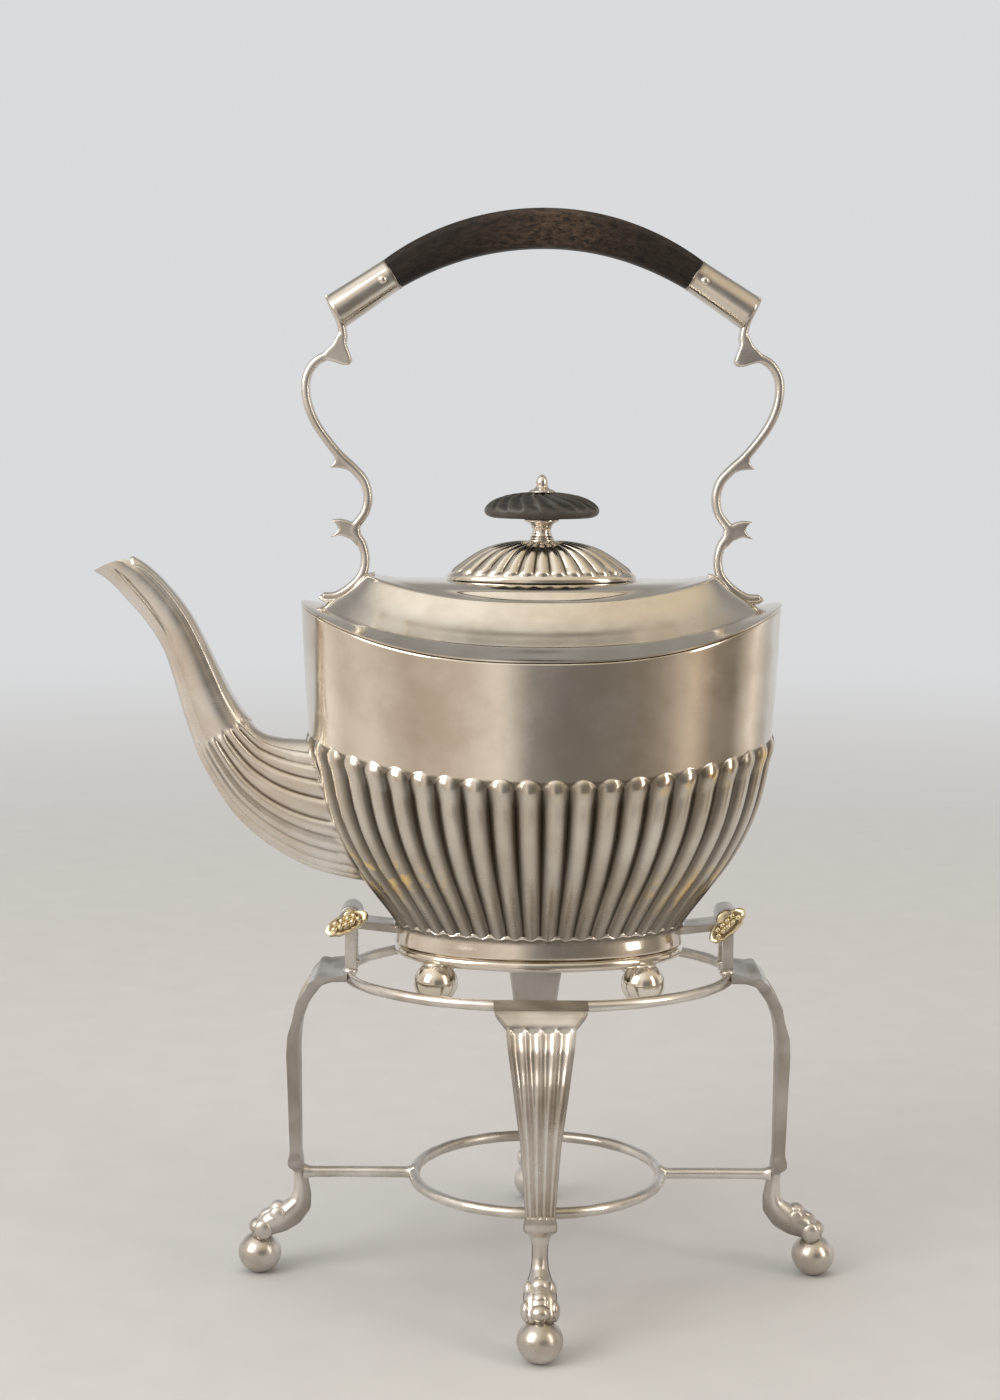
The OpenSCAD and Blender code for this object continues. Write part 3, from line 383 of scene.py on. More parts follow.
# Knuckles that stand out from the claw: two big ones down the middle, the claw's tip, and smaller ones
# beside them; each has its place and its half sizes
knuckles = [((foot - 6.9, 0, 24.6), (3.3, 3.5, 3.0)), ((foot - 3.0, 0, 21.7), (3.3, 3.3, 2.6)),
            ((foot + 0.5, 0, 17.6), (3.5, 3.8, 3.2))]
for side in (1, -1):
    knuckles += [((foot - 7.0, side * 4.2, 23.0), (3.0, 1.5, 3.2)),
                 ((foot - 1.6, side * 5.0, 17.6), (3.4, 1.8, 3.8))]
leg = together([leg_shape()] + [ball(centre, size, 20, 30) for centre, size in knuckles])
for side_name, bearing, edge in leg_places:
    cast = make_piece("cast_leg_" + side_name, turned_to(leg, bearing, edge), "stand", stand_silver,
                      ["leg_" + side_name], sharp=38, depth=0.35, rounds=14)
    # Painted dark reflection on the cap's upper faces, from 113.5 mm up.
    darkened(cast, lambda x, y, z: np.clip((z - 113.5) / 3, 0, 1) * (0.9 + 0.15 * np.sin(x / 3 + y / 5)))

# Ball feet of the stand. Cast balls that the claws grip, a little squat and worn flat underneath by
# the table.
foot_ball_r = 8.1
points, faces = ball((leg_spread, 0, ball_z), foot_ball_r * np.array([0.99, 0.99, 0.95]))
points[:, 2] = points[:, 2].clip(0)
feet = [turned_to((points, faces), bearing, edge) for _, bearing, edge in leg_places]
make_piece("claw_balls", together(feet), "stand", stand_silver, ["stand_ball_feet"], depth=0.5)

# Burner ring and its four bars. A round rod bent into a ring that holds the spirit burner, and four rods
# that join it to the collars of the legs, each end thickened by a blob of solder.
burner_r, burner_z, burner_rod_r, rod_end_in = 46, 38.7, 2.1, 16.6
burner_hoop = oval_rod(burner_r, burner_r, burner_z, burner_rod_r, 180, uneven=0.05)
make_piece("burner_hoop", burner_hoop, "stand", stand_silver, ["burner_ring"], depth=0.5)
rods = []
for _, bearing, edge in leg_places:
    length = edge + leg_spread - rod_end_in - burner_r
    s = np.linspace(0, length, 60)
    solder = 1.3 * np.exp(-(s / 1.6) ** 2) + 1.1 * np.exp(-((s - length) / 1.7) ** 2)
    path = np.stack([burner_r + s, 0 * s, burner_z + 0.12 * np.sin(s / length * 3)], 1)
    rod = swept(path, (0, 0, 1), burner_rod_r + solder, burner_rod_r + 0.7 * solder, 20)
    rods.append(turned_to(rod, bearing))
make_piece("burner_rods", together(rods), "stand", stand_silver, ["burner_bars"], depth=0.5)

# Posts and eyes. Two pairs of short flat posts soldered on the ring's ends, each with a round eye for
# the pins; the eyes of the right pair are open above. The edges are rounded by years of polishing.
pivot_x, pivot_z, post_y, collar_face_y = 69.2, 137, 8.4, 10.2
corners = [(sx, sy) for sx in (-1, 1) for sy in (-1, 1)]


def from_node(name, node, body, finish, round_by, slot="silver_plate"):
    """The node's own shape as a piece, smoothly shaded and with its edges rounded."""
    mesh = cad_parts[node].data.copy()
    mesh.name = name
    mesh.materials.clear()
    for kept in list(mesh.attributes):
        if kept.name in ("custom_normal", "sharp_edge", "sharp_face"):
            mesh.attributes.remove(kept)
    piece = make_piece(name, mesh, body, finish, [node], slot=slot, sharp=35, rounds=4)
    piece.modifiers.new("weld", "WELD").merge_threshold = 0.00001
    rounding = piece.modifiers.new("rounding", "BEVEL")
    rounding.width = round_by * 0.001
    rounding.segments = 3
    rounding.limit_method = "ANGLE"
    rounding.angle_limit = math.radians(40)
    rounding.harden_normals = True
    return piece


from_node("pivot_posts", "pivot_ears", "stand", stand_silver, 0.35)
from_node("rest_posts", "rest_ears", "stand", stand_silver, 0.25)
blobs = [ball((sx * pivot_x, sy * post_y, ring_z + ring_rod_r - 0.1), (2.9, 2.5, 1.7), 16, 24)
         for sx, sy in corners]
make_piece("post_solder", together(blobs), "stand", stand_silver)

# Pins and their shell grips. A turned pin with a collar slides through each pair of eyes; on its front
# sits a small cast brass shell with a scalloped rim and two rows of beads, by which it is drawn.
grip_l, grip_w, bead_r, bead_gap, leaf_lean = 17, 7.4, 1.22, 2.45, 34
# Share of the leaf's outline and height above its back, from the back round the rim to the front
leaf_rings = [
    (0.86, 0), (0.97, 0.25), (1.0, 0.8), (1.0, 1.7), (0.97, 2.15), (0.9, 2.35), (0.8, 2.2), (0.66, 1.9),
    (0.3, 2.3), (0.05, 2.4)]
brass = metal("cast_brass", (0.82, 0.74, 0.53), (0.68, 0.57, 0.36), (0.13, 0.085, 0.045), (0.18, 0.32), 0.9)


def shell_grip(x, slope, neck_aside):
    """A beaded shell at x whose long axis slopes in the front view, on its short round neck."""
    rim = full_turn(96)
    ray = 1 + 0.035 * np.cos(12 * rim) * np.clip(-1.5 * np.sin(rim), 0, 1)
    edge = np.stack([grip_l / 2 * np.cos(rim) * ray, grip_w / 2 * np.sin(rim) * ray], 1)
    leaf = np.array([np.column_stack([share * edge, np.full(96, height)]) for share, height in leaf_rings])
    beads = [ball(((k - (count - 1) / 2) * bead_gap, row, 2.3), bead_r, 16, 22)
             for row, count in ((-0.8, 5), (1.1, 4)) for k in range(count)]
    points, faces = together([capped(leaf)] + beads)
    # The leaf leans back, so that its thick scalloped rim shows below the beads
    lean, a = math.radians(leaf_lean), math.radians(slope)
    along, up, out = points[:, 0], points[:, 1], points[:, 2] - 1
    across, front = up * math.cos(lean) + out * math.sin(lean), out * math.cos(lean) - up * math.sin(lean)
    lay = np.stack([x + along * math.cos(a) - across * math.sin(a), -front - 1.9,
                    along * math.sin(a) + across * math.cos(a) - 0.9], 1)
    neck = ball((x + neck_aside, -0.9, 1.1), (3.3, 1.2, 3.3), 20, 32)
    points, faces = together([(lay, faces), neck])
    return points + [0, -collar_face_y, pivot_z], faces


for name in ("pivot_pin", "rest_pin"):
    darkened(from_node(name + "_rod", name, name, stand_silver, 0.25), lambda x, y, z: 0.9 + 0 * z)
make_piece("pivot_shell_grip", shell_grip(-pivot_x - 1, 25, 1.2), "pivot_pin", brass, ["pivot_pin_grip"],
           slot="brass", depth=0.25)
make_piece("rest_shell_grip", shell_grip(pivot_x - 0.5, 45, -0.9), "rest_pin", brass, ["rest_pin_grip"],
           slot="brass", depth=0.25)

# Kettle body. Raised from sheet as a boat-shaped oval whose ends sweep up, with forty-six rounded flutes
# chased around its belly that end as knobs below a plain band. Silver plate over brass, warm and worn,
# with dark tarnish and painted shade between the flutes and a little brass showing on their crests.
body_flutes, per_flute, flute_top_z, rim_rise, rise_power = 46, 16, 195.6, 15.7, 2.6
foot_half_x, foot_half_y, belly_x, belly_y = 52, 33.2, 35.2, 22
kettle_silver = metal("kettle_silver", (0.83, 0.777, 0.70), (0.68, 0.614, 0.525), (0.10, 0.078, 0.056),
                      (0.10, 0.18), 0.8, 0.022, worn=(0.88, 0.645, 0.29), dark=(0.02, 0.8))
# Share of the way out from foot to rim, height at the front, rise at the ends
body_rows = np.array([
    (0, 133.5, 0), (0.085, 138, 0), (0.28, 147, 0), (0.57, 161, 0.63), (0.79, 175.5, 2.98),
    (0.905, 189.6, 7.85), (0.93, 195.6, 9.73), (0.935, 198.6, 10.36), (0.97, 215.6, 12.87),
    (0.995, 235.6, 15.7)])
top_row = 6
# Half sizes, height and rise of the band's upper edge, which is rolled over, and of the wall inside
inside_rows = [(87.0, 55.1, 236.2, 15.7), (86.7, 54.8, 236.5, 15.7), (85.6, 53.7, 236.2, 15.7),
               (85.2, 53.3, 235, 15.6), (83, 51, 215, 12.9), (80, 48.5, 190, 8), (70, 41, 160, 0.6),
               (54, 33, 138, 0), (49.5, 31, 135, 0)]


def flowing(x, y, at):
    """A smooth line through points that never swings past them."""
    x, y, at = np.asarray(x, float), np.asarray(y, float), np.asarray(at, float)
    gap = np.diff(x)[:, None]
    slope = np.diff(y, axis=0) / gap
    lean = np.zeros_like(y)
    lean[0], lean[-1] = slope[0], slope[-1]
    wa, wb = 2 * gap[1:] + gap[:-1], gap[1:] + 2 * gap[:-1]
    with np.errstate(divide="ignore", invalid="ignore"):
        mean = (wa + wb) / (wa / slope[:-1] + wb / slope[1:])
    lean[1:-1] = np.where(slope[:-1] * slope[1:] > 0, mean, 0)
    i = np.clip(np.searchsorted(x, at) - 1, 0, len(x) - 2)
    h = gap[i]
    t = (at - x[i])[:, None] / h
    return ((2 * t ** 3 - 3 * t ** 2 + 1) * y[i] + (t ** 3 - 2 * t ** 2 + t) * h * lean[i]
            + (3 * t ** 2 - 2 * t ** 3) * y[i + 1] + (t ** 3 - t ** 2) * h * lean[i + 1])


def even_turns(half_x, half_y, count):
    """Angles that cut an oval into equal lengths, from +X."""
    t = np.linspace(0, 2 * np.pi, 7201)
    run = distances(np.stack([half_x * np.cos(t), half_y * np.sin(t)], 1))
    return np.interp(run[-1] * np.arange(count) / count, run, t)


def oval_rings(rows, turns, out=0.0):
    """Oval rings from rows of half sizes, front height and rise at the ends, each point pushed out by out."""
    rows = np.asarray(rows, float)
    if rows.shape[1] == 3:
        rows = np.pad(rows, ((0, 0), (0, 1)))
    half_x, half_y, z, rise = rows.T[:, :, None]
    c, s = np.cos(turns), np.sin(turns)
    nx, ny = c / half_x, s / half_y
    size = np.hypot(nx, ny)
    return np.stack([half_x * c + nx / size * out, half_y * s + ny / size * out,
                     z + rise * np.abs(c) ** rise_power], -1)


def across_flutes(count, steps):
    """Place across its own flute of each point of a ring: 0 on the crest, -1 and 1 in the valleys."""
    return 2 * ((np.arange(count * steps) / steps + 0.5) % 1) - 1


def painted(piece, kind, values):
    """Writes a value per point under a name, leaving the points after the given ones as they are."""
    if kind not in piece.data.attributes:
        piece.data.attributes.new(kind, "FLOAT", "POINT")
    old = np.empty(len(piece.data.vertices))
    piece.data.attributes[kind].data.foreach_get("value", old)
    old[:values.size] = values.ravel()
    piece.data.attributes[kind].data.foreach_set("value", old)


body_turns, flute_s = even_turns(87, 55, body_flutes * per_flute), across_flutes(body_flutes, per_flute)
end_share = np.cos(body_turns)
out_run = distances(body_rows[:, :2] * [35, 1])
knob_low, knob_high = out_run[top_row] - 9, out_run[top_row] + 1.4
steps = np.concatenate([np.linspace(0, knob_low, 46)[:-1], np.linspace(knob_low, knob_high, 34),
                        np.linspace(knob_high, out_run[-1], 26)[1:]])
share, height, rise = flowing(out_run, body_rows, steps).T[:, :, None]
half_x, half_y = foot_half_x + belly_x * share, foot_half_y + belly_y * share
# The flutes swell from the foot and end in round knobs a little proud of the plain band
top_z = flute_top_z + 0.3 + 0.62 * rim_rise * np.abs(end_share) ** rise_power
band_z = height + rise * np.abs(end_share) ** rise_power
below = np.clip(top_z - band_z, 0, None)
girth = np.pi * (3 * (half_x + half_y) - np.sqrt((3 * half_x + half_y) * (half_x + 3 * half_y)))
flute_half = girth / 2 / body_flutes
cap = np.sqrt(1 - np.clip(1 - below / (0.95 * flute_half), 0, 1) ** 2)
knob = np.exp(-((below - 4.2) / 3.6) ** 2)
proud = 0.8 * np.clip((height - 140) / 40, 0.15, 1) + 0.75 * knob
depth = np.clip(1.3 + (height - 136) / 22, 0.5, 3.0) + 0.3 * knob
valley = -(depth - proud) * np.clip((below - 0.5 * flute_half) / (1.6 * flute_half), 0, 1)
across = np.clip(1 - (flute_s / np.maximum(cap, 1e-3)) ** 2, 0, 1)
across = 0.35 * np.sqrt(across) + 0.65 * across
relief = (valley + (proud - valley) * across * cap) * np.clip((height - 133.3) / 2.2, 0, 1)
outside = oval_rings(np.column_stack([half_x, half_y, height, rise]), body_turns, relief)
body_shape = capped(np.concatenate([outside, oval_rings(inside_rows, body_turns)]))
body = make_piece("fluted_body", body_shape, "kettle", kettle_silver, ["kettle_body"], depth=0.34, rounds=30,
                  sharp=60)
# Brass shows on the crests where cloths have rubbed, low at both ends and at the knobs on the right
crest = np.clip(1 - 1.3 * np.abs(flute_s), 0, 1) * np.clip((below - 0.5) / 3, 0, 1)
low_left = np.exp(-((band_z - 157) / 6) ** 2) * np.clip(-2.4 * end_share - 1, 0, 1)
low_right = 0.5 * np.exp(-((band_z - 153) / 7) ** 2) * np.clip(2.4 * end_share - 1, 0, 1)
high_right = 0.5 * np.exp(-((below - 4) / 5) ** 2) * np.clip(1.2 * end_share, 0, 1)
painted(body, "rubbed", 2 * crest * np.clip(low_left + low_right + high_right, 0, 1))
# Tarnish in valleys, painted shade on flanks, and tarnish with painted dark reflection towards the foot
tarnish_and_painted_reflection = np.clip(below / 5, 0, 1) * np.clip(0.24 + (172 - band_z) / 130, 0.24, 0.5)
shade = np.clip(1.5 * (1 - across) - 0.04, 0, 1) * np.clip(below / 1.5, 0, 1)
painted(body, "relief", tarnish_and_painted_reflection + (1 - tarnish_and_painted_reflection) * shade)

# Foot band. A strip bent to an oval and soldered under the body; it leans outwards below, and its upper
# edge is ragged where solder runs up between the flutes.
foot_rows = np.array([
    (50.6, 31.7, 127.3), (52.5, 33.6, 127.5), (53.6, 34.6, 128.1), (53.7, 34.7, 129), (53.3, 34.3, 131),
    (52.9, 33.9, 133), (52.7, 33.7, 134.9), (53.1, 34.1, 135.5), (52.9, 33.9, 136.1), (52.2, 33.2, 136.2),
    (50.5, 31.5, 135), (49.8, 31, 128)])
foot_count = body_flutes * 12
place_round = np.arange(foot_count)
ragged = 0.45 * np.cos(2 * np.pi * (place_round / 12 + 0.5)) + 0.2 * np.sin(place_round * 0.37)
band = oval_rings(foot_rows, even_turns(51.8, 33, foot_count))
band[..., 2] += np.outer(np.clip((foot_rows[:, 2] - 134) / 1.5, 0, 1) * (foot_rows[:, 0] > 51), ragged)
make_piece("foot_strip", looped(band), "kettle", kettle_silver, ["foot_band"], depth=0.4, sharp=50)

# Base wire. A round wire bent to an oval and soldered under the foot band, as the kettle's lowest edge.
# Silver plate on brass, like the band.
wire = oval_rod(51, 32.2, 125.2, 2.1, 200, uneven=0.03)
make_piece("foot_wire", wire, "kettle", kettle_silver, ["base_wire"], depth=0.5)

# Kettle's own ball feet. Four cast balls soldered under the base wire, with a smear of solder each; they
# carry the kettle when it is off its stand.
kettle_ball_r = 7.95
kettle_feet = []
for sx, sy in corners:
    centre = np.array([sx * 37.5, sy * 21.83, 116.7])
    kettle_feet += [ball(centre, kettle_ball_r), ball(centre + [0, 0, 6.9], (4.6, 4.2, 1.6), 16, 30)]
make_piece("kettle_balls", together(kettle_feet), "kettle", kettle_silver, ["kettle_ball_feet"], depth=0.5)

# Hinge plates. A thick plate at each end of the foot, rolled into a knuckle around the pin and dull with
# tarnish, with a seam of solder where it meets the foot band.
for side_name in ("pivot", "rest"):
    plate = from_node(side_name + "_plate", side_name + "_arm", "kettle", stand_silver, 0.5)
    darkened(plate, lambda x, y, z: 0.75 + 0.25 * (np.abs(y) > 9))
for side_name, sx in (("pivot", -1), ("rest", 1)):
    seam = ball((sx * 52.6, 0, 133.4), (1.6, 6.9, 1.5), 16, 30)
    make_piece(side_name + "_plate_solder", seam, "kettle", stand_silver)

# Shoulder. A second sheet that closes the body above: a narrow ledge along the rim, a deep hollow cove
# and a flat top with the oval mouth, soldered to the body with a fine dark seam.
shoulder_rows = np.array([
    (86.2, 54.2, 236.7, 15.7), (87.25, 55.2, 236.9, 15.7), (87.3, 55.3, 237.5, 15.68),
    (86.6, 54.5, 237.8, 15.3), (83, 50.8, 239.45, 12.9), (79.9, 47.4, 240.95, 10.8),
    (79.4, 46.9, 241.2, 10.55), (78.9, 46.4, 241.55, 10.4), (74.9, 42.7, 244.15, 10.1),
    (70.4, 38.5, 247.2, 9.8), (67.4, 35.2, 249.95, 9.5), (65.3, 32.7, 252.45, 9.1),
    (63.9, 31, 254.45, 8.5), (63.2, 30.2, 255.3, 7.9), (61.8, 29.1, 255.9, 7.1), (57, 28, 256.9, 5.2),
    (50, 26.9, 258.6, 3.0), (43, 24.4, 260.1, 1.4), (36.5, 21.9, 261.1, 0.25), (33.5, 20.5, 261.35, 0),
    (32, 19, 261.3, 0), (31.5, 18.5, 261, 0), (31.5, 18.5, 260, 0), (33, 20, 259.6, 0)])
under_rows = [(62, 29, 254, 7), (68, 36, 245, 9.5), (78, 46, 240, 10), (85, 53, 236.2, 14.8)]
rim_row, mouth_row, row_step = 3, 19, 0.8
shoulder_turns = even_turns(87, 55, 512)
run = distances(shoulder_rows[:, :3])
at = np.concatenate([run[:rim_row + 1], np.arange(run[rim_row] + row_step, run[mouth_row], row_step),
                     run[mouth_row:]])
sheet_top = oval_rings(flowing(run, shoulder_rows, at), shoulder_turns)
make_piece("coved_shoulder", looped(np.concatenate([sheet_top, oval_rings(under_rows, shoulder_turns)])),
           "kettle", kettle_silver, ["shoulder"], depth=0.6, sharp=32, rounds=10)

# Spout. Cast in one and soldered to the body's end: a narrow crowned top face with a bright ridge along
# each side, flat sides that taper up to a duck-billed lip, and a root with nine ridged flutes fanning out.
spout_flutes, spout_wall, spout_count = 9.5, 1.1, 256
# Upper and lower outline in the front view, from lip to root, with half width
spout_line = np.array([
    (-148.2, 269.1, -162.5, 263.7, 5.4), (-144.8, 267.2, -158, 260.9, 5.5),
    (-139.5, 263.0, -150.5, 253.2, 5.7), (-133.6, 256.7, -144.2, 245.9, 6.1),
    (-127.9, 249, -137.5, 235.2, 6.6), (-122.2, 238.8, -133.9, 224.6, 7.2),
    (-117.2, 228.4, -130.7, 212.9, 8), (-111.9, 218.1, -126.5, 200.3, 9),
    (-106.1, 209.9, -121.5, 190, 10.2), (-98.8, 204.8, -111.7, 174.8, 11.8),
    (-93.5, 204, -98.9, 163.2, 13.4), (-88, 203.6, -82, 154.2, 14.8), (-84, 203.4, -62.6, 149.4, 15.6)])
run = distances(spout_line[:, :4])
along = np.linspace(0, run[-1], 170)
tube = flowing(run, spout_line, along)
share = (along / run[-1])[:, None]
turn = full_turn(spout_count)
c, s = np.cos(turn), np.sin(turn)
# Share of the way round either side, from the top face down to the keel
angle_down = np.abs(np.where(turn > np.pi, 2 * np.pi - turn, turn)) / np.pi
middle, up, half_w = (tube[:, 0:2] + tube[:, 2:4]) / 2, (tube[:, 0:2] - tube[:, 2:4]) / 2, tube[:, 4:]


def spout_section(inset):
    """Rings of the spout: flat sided above, rounder below, set in by inset."""
    flat = 0.62 + 0.3 * np.clip((share - 0.55) / 0.3, 0, 1)
    cc = np.sign(c) * np.abs(c) ** np.where(c > 0, 0.8, 1.0)
    ss = np.sign(s) * np.abs(s) ** flat
    # The top face is narrow: the sides lean in above their ridge
    lean = 1 - 0.22 * np.clip((cc - 0.35) / 0.65, 0, 1) ** 2 * (c > 0)
    lean = lean - 0.25 * np.clip((-cc - 0.45) / 0.55, 0, 1) * (c < 0)
    wide = (half_w - inset) * ss * lean
    length = 1 - inset / np.linalg.norm(up, axis=1)[:, None]
    x, z = middle[:, :1] + up[:, :1] * length * cc, middle[:, 1:] + up[:, 1:] * length * cc
    # Towards its root the spout bends round the body's end
    back = 78 * (1 - np.sqrt(np.clip(1 - (wide / 42) ** 2, 0, 1))) * np.clip((share - 0.8) / 0.2, 0, 1) ** 2
    bow = 5.5 * np.clip(1 - cc ** 2, 0, 1) * np.clip((share - 0.86) / 0.14, 0, 1) ** 2
    # Behind the long point the mouth's sides dip below the small peak at the top
    cutaway = 3.4 * np.exp(-((angle_down - 0.27) / 0.13) ** 2) * np.clip(1 - share / 0.075, 0, 1) ** 1.5
    return np.stack([x + back - bow + 0.55 * cutaway, -wide, z - 0.83 * cutaway], -1)


outer = spout_section(0.0)
# The flutes start at a slanting line and run down to the root
flute_at = np.clip((angle_down - 0.2) / 0.8, 0, 1) * spout_flutes
start = 0.50 + 0.1 * np.clip(1 - angle_down, 0, 1)
past = np.clip((share - start) / 0.05, 0, 1)
ending = np.clip((0.985 - share) / 0.03, 0, 1)
round_flute = np.clip(1 - (2 * (flute_at - np.floor(flute_at)) - 1) ** 2, 0, 1)
bulge = (0.3 * np.sqrt(round_flute) + 0.7 * round_flute) * (angle_down > 0.2)
amount = 1.8 * np.sqrt(1 - (1 - past) ** 2) * np.clip(0.35 + share, 0, 1)
relief = amount * (bulge - 0.7) * np.sqrt(1 - (1 - ending) ** 2)
# A dark crease runs from the lip down the side and dies out
crease = -0.9 * np.exp(-((angle_down - 0.55 - 0.3 * share) / 0.022) ** 2)
crease = crease * np.clip((0.27 - share) / 0.12, 0, 1) * np.clip(share / 0.05 - 0.3, 0, 1)
ridge = 0.65 * np.exp(-((angle_down - 0.26) / 0.04) ** 2) * np.clip((0.62 - share) / 0.2, 0, 1)
ray = outer - np.insert(middle, 1, 0, axis=1)[:, None]
ray /= np.linalg.norm(ray, axis=2)[..., None]
outer = outer + ray * (relief + crease + ridge)[..., None]
# The bill: the rim dips between the small peak above and the long point below
bill = np.clip(1 - share / 0.06, 0, 1) ** 2 * np.sin(np.clip(angle_down, 0, 1) * np.pi) ** 2
outer[..., 0] += 0.6 * bill
outer[..., 2] += 1.0 * bill
inner = spout_section(spout_wall)[:70][::-1]
inner[-1] += (outer[0] - inner[-1]) * 0.06
spout_silver = metal("spout_silver", plate_light, (0.68, 0.61, 0.535), (0.11, 0.09, 0.07), (0.22, 0.34), 0.7,
                     0.012, dark=(0.1, 1.1))
make_piece("spout_cast", capped(np.concatenate([inner, outer])), "kettle", spout_silver, ["spout"], depth=0.7,
           sharp=60, rounds=30)
# A seam of solder runs round the root, on the body's end
seam_y, seam_z = 15.2 * np.sin(full_turn(90)), 177.2 + 26.6 * np.cos(full_turn(90))
out_share = np.interp(seam_z, body_rows[:, 1] + body_rows[:, 2], body_rows[:, 0])
end_x, side_y = foot_half_x + belly_x * out_share, foot_half_y + belly_y * out_share
seam_x = -end_x * np.sqrt(1 - (seam_y / side_y) ** 2)
seam = swept(np.stack([seam_x, seam_y, seam_z], 1), (1, 0, 0), 0.75, 0.9, 12, closed=True)
seam = make_piece("spout_solder", seam, "kettle", spout_silver, depth=0.5)
painted(seam, "relief", np.full(len(seam.data.vertices), 0.8))

# Handle arms. Two cast scrolls, flat in front with rounded edges, with thorn-like spurs; each stands on
# the shoulder over a strap and ends above in a small knob under the ferrule. Cast, then filed smooth.
arm_silver = metal("arm_silver", plate_light, plate_toned, (0.15, 0.12, 0.09), (0.24, 0.36), 0.85)
scroll_deep, spur_half = 2.8, 2.7
# Centre lines of the right arm in the front view, from the knob down to the foot, and their half widths
upper_scroll = [
    (71.9, 347), (72.2, 344.9), (73.4, 343.1), (76.6, 341.9), (81.6, 339.2), (84.6, 334.6),
    (85.2, 328.8), (84, 322.6), (81.3, 316.6), (77.3, 310.9), (73, 305.7), (68.3, 301.3), (64.4, 296.8),
    (62.9, 291.2), (63.9, 285.6), (67.4, 280.6), (68.6, 278.6)]
upper_wide = [1.5, 1.7, 1.75, 1.75, 1.7, 1.65, 1.65, 1.7, 1.8, 1.8, 1.75, 1.7, 1.8]
lower_scroll = [
    (68.6, 279.4), (67.3, 277.2), (64.9, 273.5), (63.9, 268), (65.2, 262.8), (69.4, 258.1),
    (74.6, 255.2), (79.4, 255.0)]
lower_wide = [1.8, 1.7, 1.7, 1.75, 1.7, 1.7, 1.5, 1.3]
horn = [(77.6, 362.9), (76.2, 360), (74.6, 356.9), (73.0, 353.8), (72.1, 350.9), (71.8, 348), (72.4, 345.4)]
horn_wide = [0.9, 1.1, 1.25, 1.35, 1.6, 1.7, 1.8]
# Outlines of the web under the knob and of the spurs at the arm's two waists
knob_web = [
    (71.2, 349.6), (70.6, 346), (69.3, 342.5), (68.4, 339.8), (69.4, 338.2), (71.8, 338.1),
    (75.5, 339.2), (80, 340.4), (78.2, 343.2), (75.6, 345.6), (73.6, 349.6)]
upper_spur = [
    (75.9, 309.8), (75.0, 306), (74.8, 303.8), (76.8, 301.4), (74, 301.4), (71.5, 301.0), (69.3, 300.2),
    (70, 304), (73, 308)]
lower_spurs = [
    (76.3, 282.7), (74.4, 281.2), (73.7, 279.4), (74.6, 278.1), (76.9, 276.2), (72.7, 277.1),
    (69.2, 275.7), (66.8, 273), (65.3, 276), (65.8, 280), (65.6, 282.7), (68, 281.4), (70.3, 282.5),
    (73, 283.1)]


def front_path(points, count):
    """Even places along a smooth curve through points of the front view."""
    points = np.asarray(points, float)
    ends = np.concatenate([[2 * points[0] - points[1]], points, [2 * points[-1] - points[-2]]])
    t = np.linspace(0, 1, 24, endpoint=False)[:, None]
    dense = [b + (c - a) * t / 2 + (2 * a - 5 * b + 4 * c - d) * t ** 2 / 2
             + (3 * b - a - 3 * c + d) * t ** 3 / 2
             for a, b, c, d in zip(ends, ends[1:], ends[2:], ends[3:])]
    dense = np.concatenate(dense + [points[-1:]])
    run = distances(dense)
    at = np.linspace(0, run[-1], count)
    return np.stack([np.interp(at, run, dense[:, 0]), 0 * at, np.interp(at, run, dense[:, 1])], 1)


def scroll(points, wide, count):
    """A flat-sided rod along a curve of the front view, whose half width flows through wide."""
    wide = np.interp(np.linspace(0, 1, count), np.linspace(0, 1, len(wide)), wide)
    return swept(front_path(points, count), (0, 1, 0), scroll_deep, wide, 28, square=0.7)


def prism(outline, half_y):
    """A flat piece with eased edges, drawn in the front view."""
    outline = np.asarray(outline, float)
    centre = outline.mean(0)
    return capped(np.array([np.insert(centre + (outline - centre) * share, 1, half_y * level, axis=1)
                            for level, share in ((-1, 0.86), (-0.75, 1.0), (0.75, 1.0), (1, 0.86))]))


def fused(shape, voxel, rounds):
    """Overlapping shapes melted into one casting with softened corners."""
    lump = placed("casting", new_mesh("casting", shape))
    melt = lump.modifiers.new("melt", "REMESH")
    melt.mode, melt.voxel_size = "VOXEL", voxel * 0.001
    soften = lump.modifiers.new("soften", "SMOOTH")
    soften.factor, soften.iterations = 0.5, rounds
    bpy.context.view_layer.update()
    done = lump.evaluated_get(bpy.context.evaluated_depsgraph_get()).to_mesh()
    points = np.empty(3 * len(done.vertices))
    done.vertices.foreach_get("co", points)
    faces = [list(face.vertices) for face in done.polygons]
    lump.to_mesh_clear()
    rough_mesh = lump.data
    bpy.data.objects.remove(lump)
    bpy.data.meshes.remove(rough_mesh)
    return points.reshape(-1, 3) * 1000, faces


def make_pair(name, shape, node, finish, **looks):
    """The right-hand piece and its mirror image on the left."""
    other = shape[0] * [-1, 1, 1], [face[::-1] for face in shape[1]]
    for side_name, side_shape in (("right", shape), ("left", other)):
        make_piece(f"{name}_{side_name}", side_shape, "kettle", finish, [f"{node}_{side_name}"], **looks)


arm = together([scroll(upper_scroll, upper_wide, 110), scroll(lower_scroll, lower_wide, 70),
                prism(knob_web, 2.8), prism(upper_spur, spur_half), prism(lower_spurs, spur_half),
                scroll(horn, horn_wide, 60)])
make_pair("scroll_arm", fused(arm, 0.26, 20), "handle_arm", arm_silver, depth=0.8, rounds=30, sharp=80)

